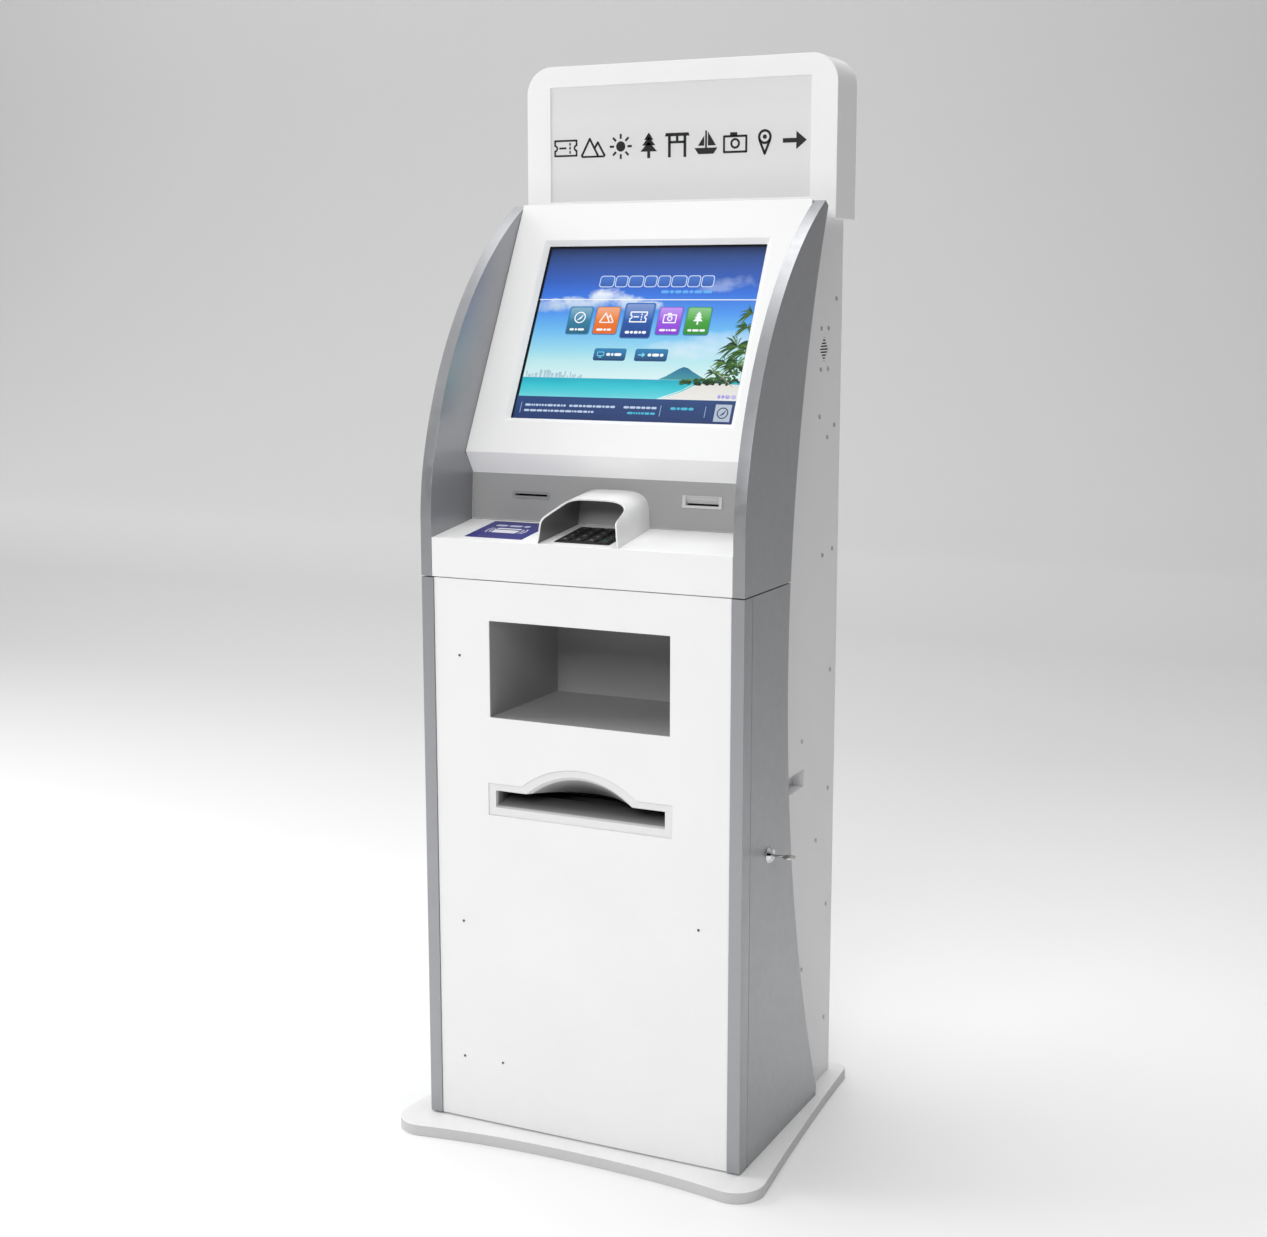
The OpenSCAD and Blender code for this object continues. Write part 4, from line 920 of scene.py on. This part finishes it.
def add_hood():
    desk = Plane("desk_panel", (0, -0.13, 0.99))
    wall = Plane("screen_panel", (0, -0.998, 0.066))
    half = smooth_line(HOOD_RIM, 3)
    top_steps = 26
    columns = [(-1, n, s) for s, n in half if n < 49]
    s_in, n_in = half[len(columns)]
    lift = (1 - (n_in / HOOD_HEIGHT) ** 4) ** 0.25
    across = [-lift + 2 * lift * i / top_steps for i in range(top_steps + 1)]

    def rim_s(n):
        for (s0, n0), (s1, n1) in zip(half, half[1:]):
            if n0 <= n <= n1:
                return s0 + (s1 - s0) * (n - n0) / max(n1 - n0, 1e-9)
        return half[-1][0]

    path = [(-(max(0.0, 1 - (n / HOOD_HEIGHT) ** 4)) ** 0.25, n, s) for _, n, s in columns]
    path += [(c, HOOD_HEIGHT * (1 - c ** 4) ** 0.25, rim_s(HOOD_HEIGHT * (1 - c ** 4) ** 0.25)) for c in across]
    path += [((max(0.0, 1 - (n / HOOD_HEIGHT) ** 4)) ** 0.25, n, s) for _, n, s in reversed(columns)]

    def rear_s(n):
        start = desk.at(0, 0, n * MM)
        return (wall.origin - start).dot(wall.n) / desk.s.dot(wall.n) / MM - 0.1

    def shell(inset):
        rows = []
        for c, n, s_front in path:
            flare = 2.5 * max(0.0, 1 - n / 24) ** 2
            row = []
            for k in range(15):
                t = k / 14
                s = s_front + (rear_s(n) - s_front) * t
                half_x = 66 - 4 * (s / 124) + flare * (1 - 0.6 * s / 124) - inset
                row.append(bm.verts.new(desk.at(c * half_x * MM, s * MM, n * (1 - inset / HOOD_HEIGHT) * MM)))
            rows.append(row)
        return rows

    bm = bmesh.new()
    outer, inner = shell(0.0), shell(HOOD_WALL)
    # inner faces are marked to take the painted shade
    inner_shade = bm.faces.layers.float.new("inner_shade")
    for grid, flip in ((outer, False), (inner, True)):
        for a, b in zip(grid, grid[1:]):
            for k in range(14):
                face = (a[k], b[k], b[k + 1], a[k + 1])
                bm.faces.new(face[::-1] if flip else face)[inner_shade] = 1.0 if flip else 0.0
    for (oa, ob), (ia, ib) in zip(zip(outer, outer[1:]), zip(inner, inner[1:])):
        bm.faces.new((oa[0], ia[0], ib[0], ob[0]))
        bm.faces.new((oa[-1], ob[-1], ib[-1], ia[-1]))
    for o, i in ((outer[0], inner[0]), (outer[-1], inner[-1])):
        for k in range(14):
            bm.faces.new((o[k], o[k + 1], i[k + 1], i[k]))
    hood = new_piece("hood_shell", finish_mesh("hood_shell", bm, 40), materials["hood_plastic"], "cabinet")
    round_edges(hood, 1.0, 3)
    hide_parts("keypad_hood")


def round_edges(piece, radius, segments=2):
    bevel = piece.modifiers.new("edge", "BEVEL")
    bevel.width = radius * MM
    bevel.segments = segments
    bevel.limit_method = "ANGLE"
    bevel.angle_limit = math.radians(50)


# ---------- screws, key, paper and cables ----------

DOOR_SCREWS = [(-204.3, 349), (200, 393), (-206, 124), (-136.4, 124), (-204.6, 776)]


def lathe(bm, start, axis, profile, steps=32):
    """Turns (distance along the axis, radius) steps into a closed round body, in millimetres."""
    axis = Vector(axis).normalized()
    side = axis.orthogonal().normalized()
    other = axis.cross(side)
    rings = []
    for along, radius in profile:
        centre = Vector(start) + axis * along * MM
        rings.append([bm.verts.new(centre + (side * math.cos(a) + other * math.sin(a)) * radius * MM)
                      for a in (2 * math.pi * i / steps for i in range(steps))])
    bm.faces.new(rings[0][::-1])
    bm.faces.new(rings[-1])
    for a, b in zip(rings, rings[1:]):
        for i in range(steps):
            j = (i + 1) % steps
            bm.faces.new((a[i], a[j], b[j], b[i]))


def add_door_screws():
    door = Plane("door_panel", (0, -1, 0))
    bm = bmesh.new()
    for x, z in DOOR_SCREWS:
        place = Vector((x * MM, door.origin.y, z * MM))
        lathe(bm, place, door.n, [(0, 2.1), (0.35, 2.1), (0.6, 1.6), (0.6, 0.9), (0.25, 0.8)], 20)
    mesh = finish_mesh("door_screws", bm, 30)
    new_piece("door_screws", mesh, materials["screw_steel"], "front_door")


def add_front_key():
    """The key in the side lock: plug, cut blade and a holed bow."""
    low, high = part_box("front_lock_key")
    mid = (low + high) / 2
    face_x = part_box("front_lock_barrel")[1].x
    start = Vector((low.x, mid.y, mid.z))
    plug_end = (face_x - low.x) / MM + 0.5
    bm = bmesh.new()
    lathe(bm, start, (1, 0, 0), [(0, 3.5), (4, 3.5), (4, 6), (plug_end - 0.5, 6), (plug_end, 5.5)], 40)
    flat = Frame((face_x, mid.y, mid.z), (1, 0, 0), (0, 1, 0))
    blade = [(-4, -3.5), (16, -3.5), (16, 3.5), (11, 3.5), (10, 2.4), (8.6, 3.1), (7.2, 1.8), (5.8, 3.2), (4.4, 2.2), (3, 3.4), (-4, 3.4)]
    prism(bm, flat, blade, -0.001, 0.001)
    reach = (high.x - face_x) / MM
    bow_r = 10.0
    bow_x = reach - bow_r
    outer = disc(bow_x, 0, bow_r, 40)
    hole = disc(bow_x + 4.6, 0, 2.6, 40)
    rings = [[bm.verts.new(flat.at(x * MM, y * MM, n)) for x, y in loop] for n in (-0.0012, 0.0012) for loop in (outer, hole)]
    for i in range(40):
        j = (i + 1) % 40
        for a, b in ((0, 1), (1, 3), (3, 2), (2, 0)):
            bm.faces.new((rings[a][i], rings[a][j], rings[b][j], rings[b][i]))
    key = new_piece("front_key", finish_mesh("front_key", bm, 35), materials["key_steel"], "front_lock")
    round_edges(key, 0.3)
    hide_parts("front_lock_key")


def ribbon(bm, path, x0, x1, thick):
    """A paper strip across the machine along a (y, z) path in metres."""
    upper = []
    lower = []
    for y, z in path:
        upper.append([bm.verts.new((x, y, z + thick)) for x in (x0, x1)])
        lower.append([bm.verts.new((x, y, z)) for x in (x0, x1)])
    for strip, flip in ((upper, 1), (lower, -1)):
        for a, b in zip(strip, strip[1:]):
            bm.faces.new((a[0], a[1], b[1], b[0])[::flip])
    for side in (0, 1):
        for i in range(len(path) - 1):
            bm.faces.new((upper[i][side], upper[i + 1][side], lower[i + 1][side], lower[i][side]))
    for i in (0, -1):
        bm.faces.new((upper[i][0], upper[i][1], lower[i][1], lower[i][0]))


def add_paper_webs():
    """Paper on its way from each roll over its platen to the slot."""
    for name, roll, platen, printer, below in (
        ("ticket_web", "ticket_roll", "ticket_platen", "ticket_printer", True),
        ("receipt_web", "receipt_roll", "receipt_platen", "receipt_printer", False),
    ):
        low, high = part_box(roll)
        centre = (low + high) / 2
        radius = (high.z - low.z) / 2
        p_low, p_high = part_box(platen)
        p_mid = (p_low + p_high) / 2
        p_top = p_mid.z + (0.009 if below else 0.006) + 0.0001
        edge = low.z - 0.0004 if below else high.z + 0.0001
        start = (centre.y, edge)
        lead = (centre.y - radius * 0.75, edge + (0.012 if below else -0.011))
        near = (p_mid.y + 0.02, p_top - 0.008 if below else p_top + 0.006)
        end = (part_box(printer)[0].y + 0.001, p_top)
        path = smooth_line([start, lead, near, (p_mid.y, p_top), end], 3)
        bm = bmesh.new()
        ribbon(bm, path, low.x + 0.001, high.x - 0.001, 0.00012)
        new_piece(name, finish_mesh(name, bm, 40), materials["paper"], "cabinet")


def tube(bm, points, radius, steps=12):
    rings = []
    for i, p in enumerate(points):
        ahead = (points[min(i + 1, len(points) - 1)] - points[max(i - 1, 0)]).normalized()
        side = ahead.cross(Vector((0.31, 0.92, 0.23))).normalized()
        other = ahead.cross(side)
        rings.append([bm.verts.new(p + (side * math.cos(a) + other * math.sin(a)) * radius)
                      for a in (2 * math.pi * k / steps for k in range(steps))])
    bm.faces.new(rings[0][::-1])
    bm.faces.new(rings[-1])
    for a, b in zip(rings, rings[1:]):
        for i in range(steps):
            j = (i + 1) % steps
            bm.faces.new((a[i], a[j], b[j], b[i]))


CABLES = {
    "mains_cable": (3.6, [(14, 157, 2), (14, 157, 60), (30, 185, 110), (48, 205, 150), (60, 207, 186), (84, 197, 206),
                          (100, 172, 210), (100, 150, 208)]),
    "dc_cable": (2.6, [(60, 60, 238), (40, 70, 262), (-10, 92, 270), (-34, 96, 262), (-47, 96, 250)]),
    "screen_cable": (2.8, [(-60, 196, 250), (-60, 208, 252), (-30, 206, 300), (120, 206, 420), (228, 204, 520), (232, 206, 800),
                           (226, 190, 1010), (150, 120, 1120), (60, 60, 1150)]),
    "data_cable": (2.2, [(-90, 196, 240), (-90, 208, 242), (-120, 206, 330), (-230, 206, 440), (-238, 205, 500), (-238, 176, 620),
                         (-238, 172, 760), (-232, 180, 930), (-170, 60, 985), (-144, 28, 1000)]),
}


def add_cables():
    for name, (radius, points) in CABLES.items():
        path = [Vector(p) * MM for p in smooth_line(points, 3)]
        bm = bmesh.new()
        tube(bm, path, radius * MM)
        new_piece(name, finish_mesh(name, bm, 50), materials["cable_jacket"], "cabinet")


# Sockets on the computer's rear plate and the plugs in two of them: x0, s0, x1, s1, height
SOCKETS = [
    (-80, 19, -70, 29, 7), (-50, 9, -40, 19, 7), (-80, -12, -58, -2, 1), (-30, 8, -16, 14, 1), (-30, -3, -16, 3, 1),
    (-10, 8, 4, 14, 1), (-10, -3, 4, 3, 1), (10, -3, 22, 14, 1), (50, -16, 78, 8, 1.5),
] + [(-50 + 7 * i, -28, -47 + 7 * i, -16, 0.3) for i in range(10)]


def add_computer_back():
    """The computer's rear plate with its sockets and plugs."""
    low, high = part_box("computer")
    back = Frame(((low.x + high.x) / 2, high.y - 0.002, (low.z + high.z) / 2 + 0.002), (-1, 0, 0), (0, 0, 1))
    bm = bmesh.new()
    prism(bm, back, rounded(-86.6, -36.6, 86.6, 36.6, 1), -0.0015, 0.0)
    new_piece("computer_plate", finish_mesh("computer_plate", bm), materials["zinc"], "cabinet")
    bm = bmesh.new()
    for x0, y0, x1, y1, height in SOCKETS:
        prism(bm, back, rounded(x0, y0, x1, y1, 0.8, 2), -0.0005, height * MM)
    mesh = finish_mesh("computer_sockets", bm, 30)
    new_piece("computer_sockets", mesh, materials["black_plastic"], "cabinet")


# ---------- camera, light and floor ----------

CAMERA_PLACE = (1.2894, -2.6982, 1.3248)
CAMERA_TURN = (math.radians(90 - 9.639), math.radians(0.0), math.radians(25.641))
LENS_MM = 54.23


def add_camera():
    data = bpy.data.cameras.new("camera")
    data.lens = LENS_MM
    data.sensor_width = 36
    camera = bpy.data.objects.new("camera", data)
    camera.location = CAMERA_PLACE
    camera.rotation_euler = CAMERA_TURN
    bpy.context.scene.collection.objects.link(camera)
    bpy.context.scene.camera = camera


def add_lamp(name, place, target, size, power, colour=(1.0, 1.0, 1.0)):
    data = bpy.data.lights.new(name, "AREA")
    data.shape = "RECTANGLE"
    data.size = size[0]
    data.size_y = size[1]
    data.energy = power
    data.color = colour
    lamp = bpy.data.objects.new(name, data)
    lamp.location = place
    lamp.rotation_euler = (Vector(target) - Vector(place)).to_track_quat("-Z", "Y").to_euler()
    bpy.context.scene.collection.objects.link(lamp)


def add_world():
    """A soft studio dome: bright overhead, dark below eye level, and plain grey where it is seen."""
    world = bpy.data.worlds.new("studio")
    world.use_nodes = True
    tree = world.node_tree
    back = tree.nodes["Background"]
    place = tree.nodes.new("ShaderNodeTexCoord")
    split = tree.nodes.new("ShaderNodeSeparateXYZ")
    ramp = tree.nodes.new("ShaderNodeValToRGB")
    tree.links.new(place.outputs["Generated"], split.inputs[0])
    tree.links.new(split.outputs[2], ramp.inputs[0])
    seen = tree.nodes.new("ShaderNodeMix")
    seen.data_type = "RGBA"
    seen.inputs[7].default_value = (0.75, 0.75, 0.75, 1.0)
    tree.links.new(tree.nodes.new("ShaderNodeLightPath").outputs["Is Camera Ray"], seen.inputs[0])
    tree.links.new(ramp.outputs[0], seen.inputs[6])
    tree.links.new(seen.outputs[2], back.inputs["Color"])
    stops = ramp.color_ramp.elements
    stops[0].position = 0.35
    stops[0].color = (0.0, 0.0, 0.0, 1.0)
    stops[1].position = 0.95
    stops[1].color = (1.0, 1.0, 1.0, 1.0)
    back.inputs["Strength"].default_value = 0.77
    bpy.context.scene.world = world


def add_stage():
    """Pale floor that fades to grey, a painted fall-off of light, and curves up into a backdrop behind the machine."""
    near, bend, far, top, side = -14.0, 7.0, 10.0, 9.0, 16.0
    profile = [(near, 0.0), (0.0, 0.0), (bend, 0.0)]
    radius = far - bend
    for i in range(1, 17):
        a = math.radians(90 * i / 16)
        profile.append((bend + radius * math.sin(a), radius * (1 - math.cos(a))))
    profile.append((far, top))
    verts = [(x, y, z) for y, z in profile for x in (-side, side)]
    faces = [(2 * i, 2 * i + 1, 2 * i + 3, 2 * i + 2) for i in range(len(profile) - 1)]
    mesh = bpy.data.meshes.new("floor")
    mesh.from_pydata(verts, [], faces)
    mesh.polygons.foreach_set("use_smooth", [True] * len(faces))
    floor = bpy.data.objects.new("floor", mesh)
    g = Graph("floor")
    # painted light: the floor is lighter near the machine and greyer further off
    painted_falloff = g.ramp(g.fit(g.axis(1), 0.6, 6.5), [(0.0, 0.93), (0.35, 0.72), (0.65, 0.66), (1.0, 0.74)])
    g.set(Base_Color=g.mix(g.fit(g.noise(3.0, 2.0), 0.3, 0.7, 0.0, 0.02), painted_falloff, (0.6, 0.6, 0.6, 1.0)))
    g.set(Roughness=0.9, Specular_IOR_Level=0.1)
    mesh.materials.append(g.mat)
    bpy.context.scene.collection.objects.link(floor)


for cad_name in NODES:
    soften(cad_name)
add_screen_picture()
add_sign_pictograms()
add_label_print()
add_key_legends()
add_hood()
add_door_screws()
add_front_key()
add_paper_webs()
add_cables()
add_computer_back()
add_camera()
add_world()
add_stage()
add_lamp("front", (0.6, -5.0, 3.4), (0.0, 0.0, 1.0), (3.0, 1.6), 123)
add_lamp("overhead", (-0.5, 0.8, 5.4), (0.0, 0.0, 0.5), (3.4, 3.4), 108)
add_lamp("left", (-4.2, -0.9, 2.4), (0.0, 0.0, 0.9), (2.6, 2.6), 94)
add_lamp("backdrop", (-7.2, 3.6, 5.4), (-7.2, 10.0, 2.6), (13.0, 2.0), 330)
bpy.context.scene.view_settings.view_transform = "Standard"
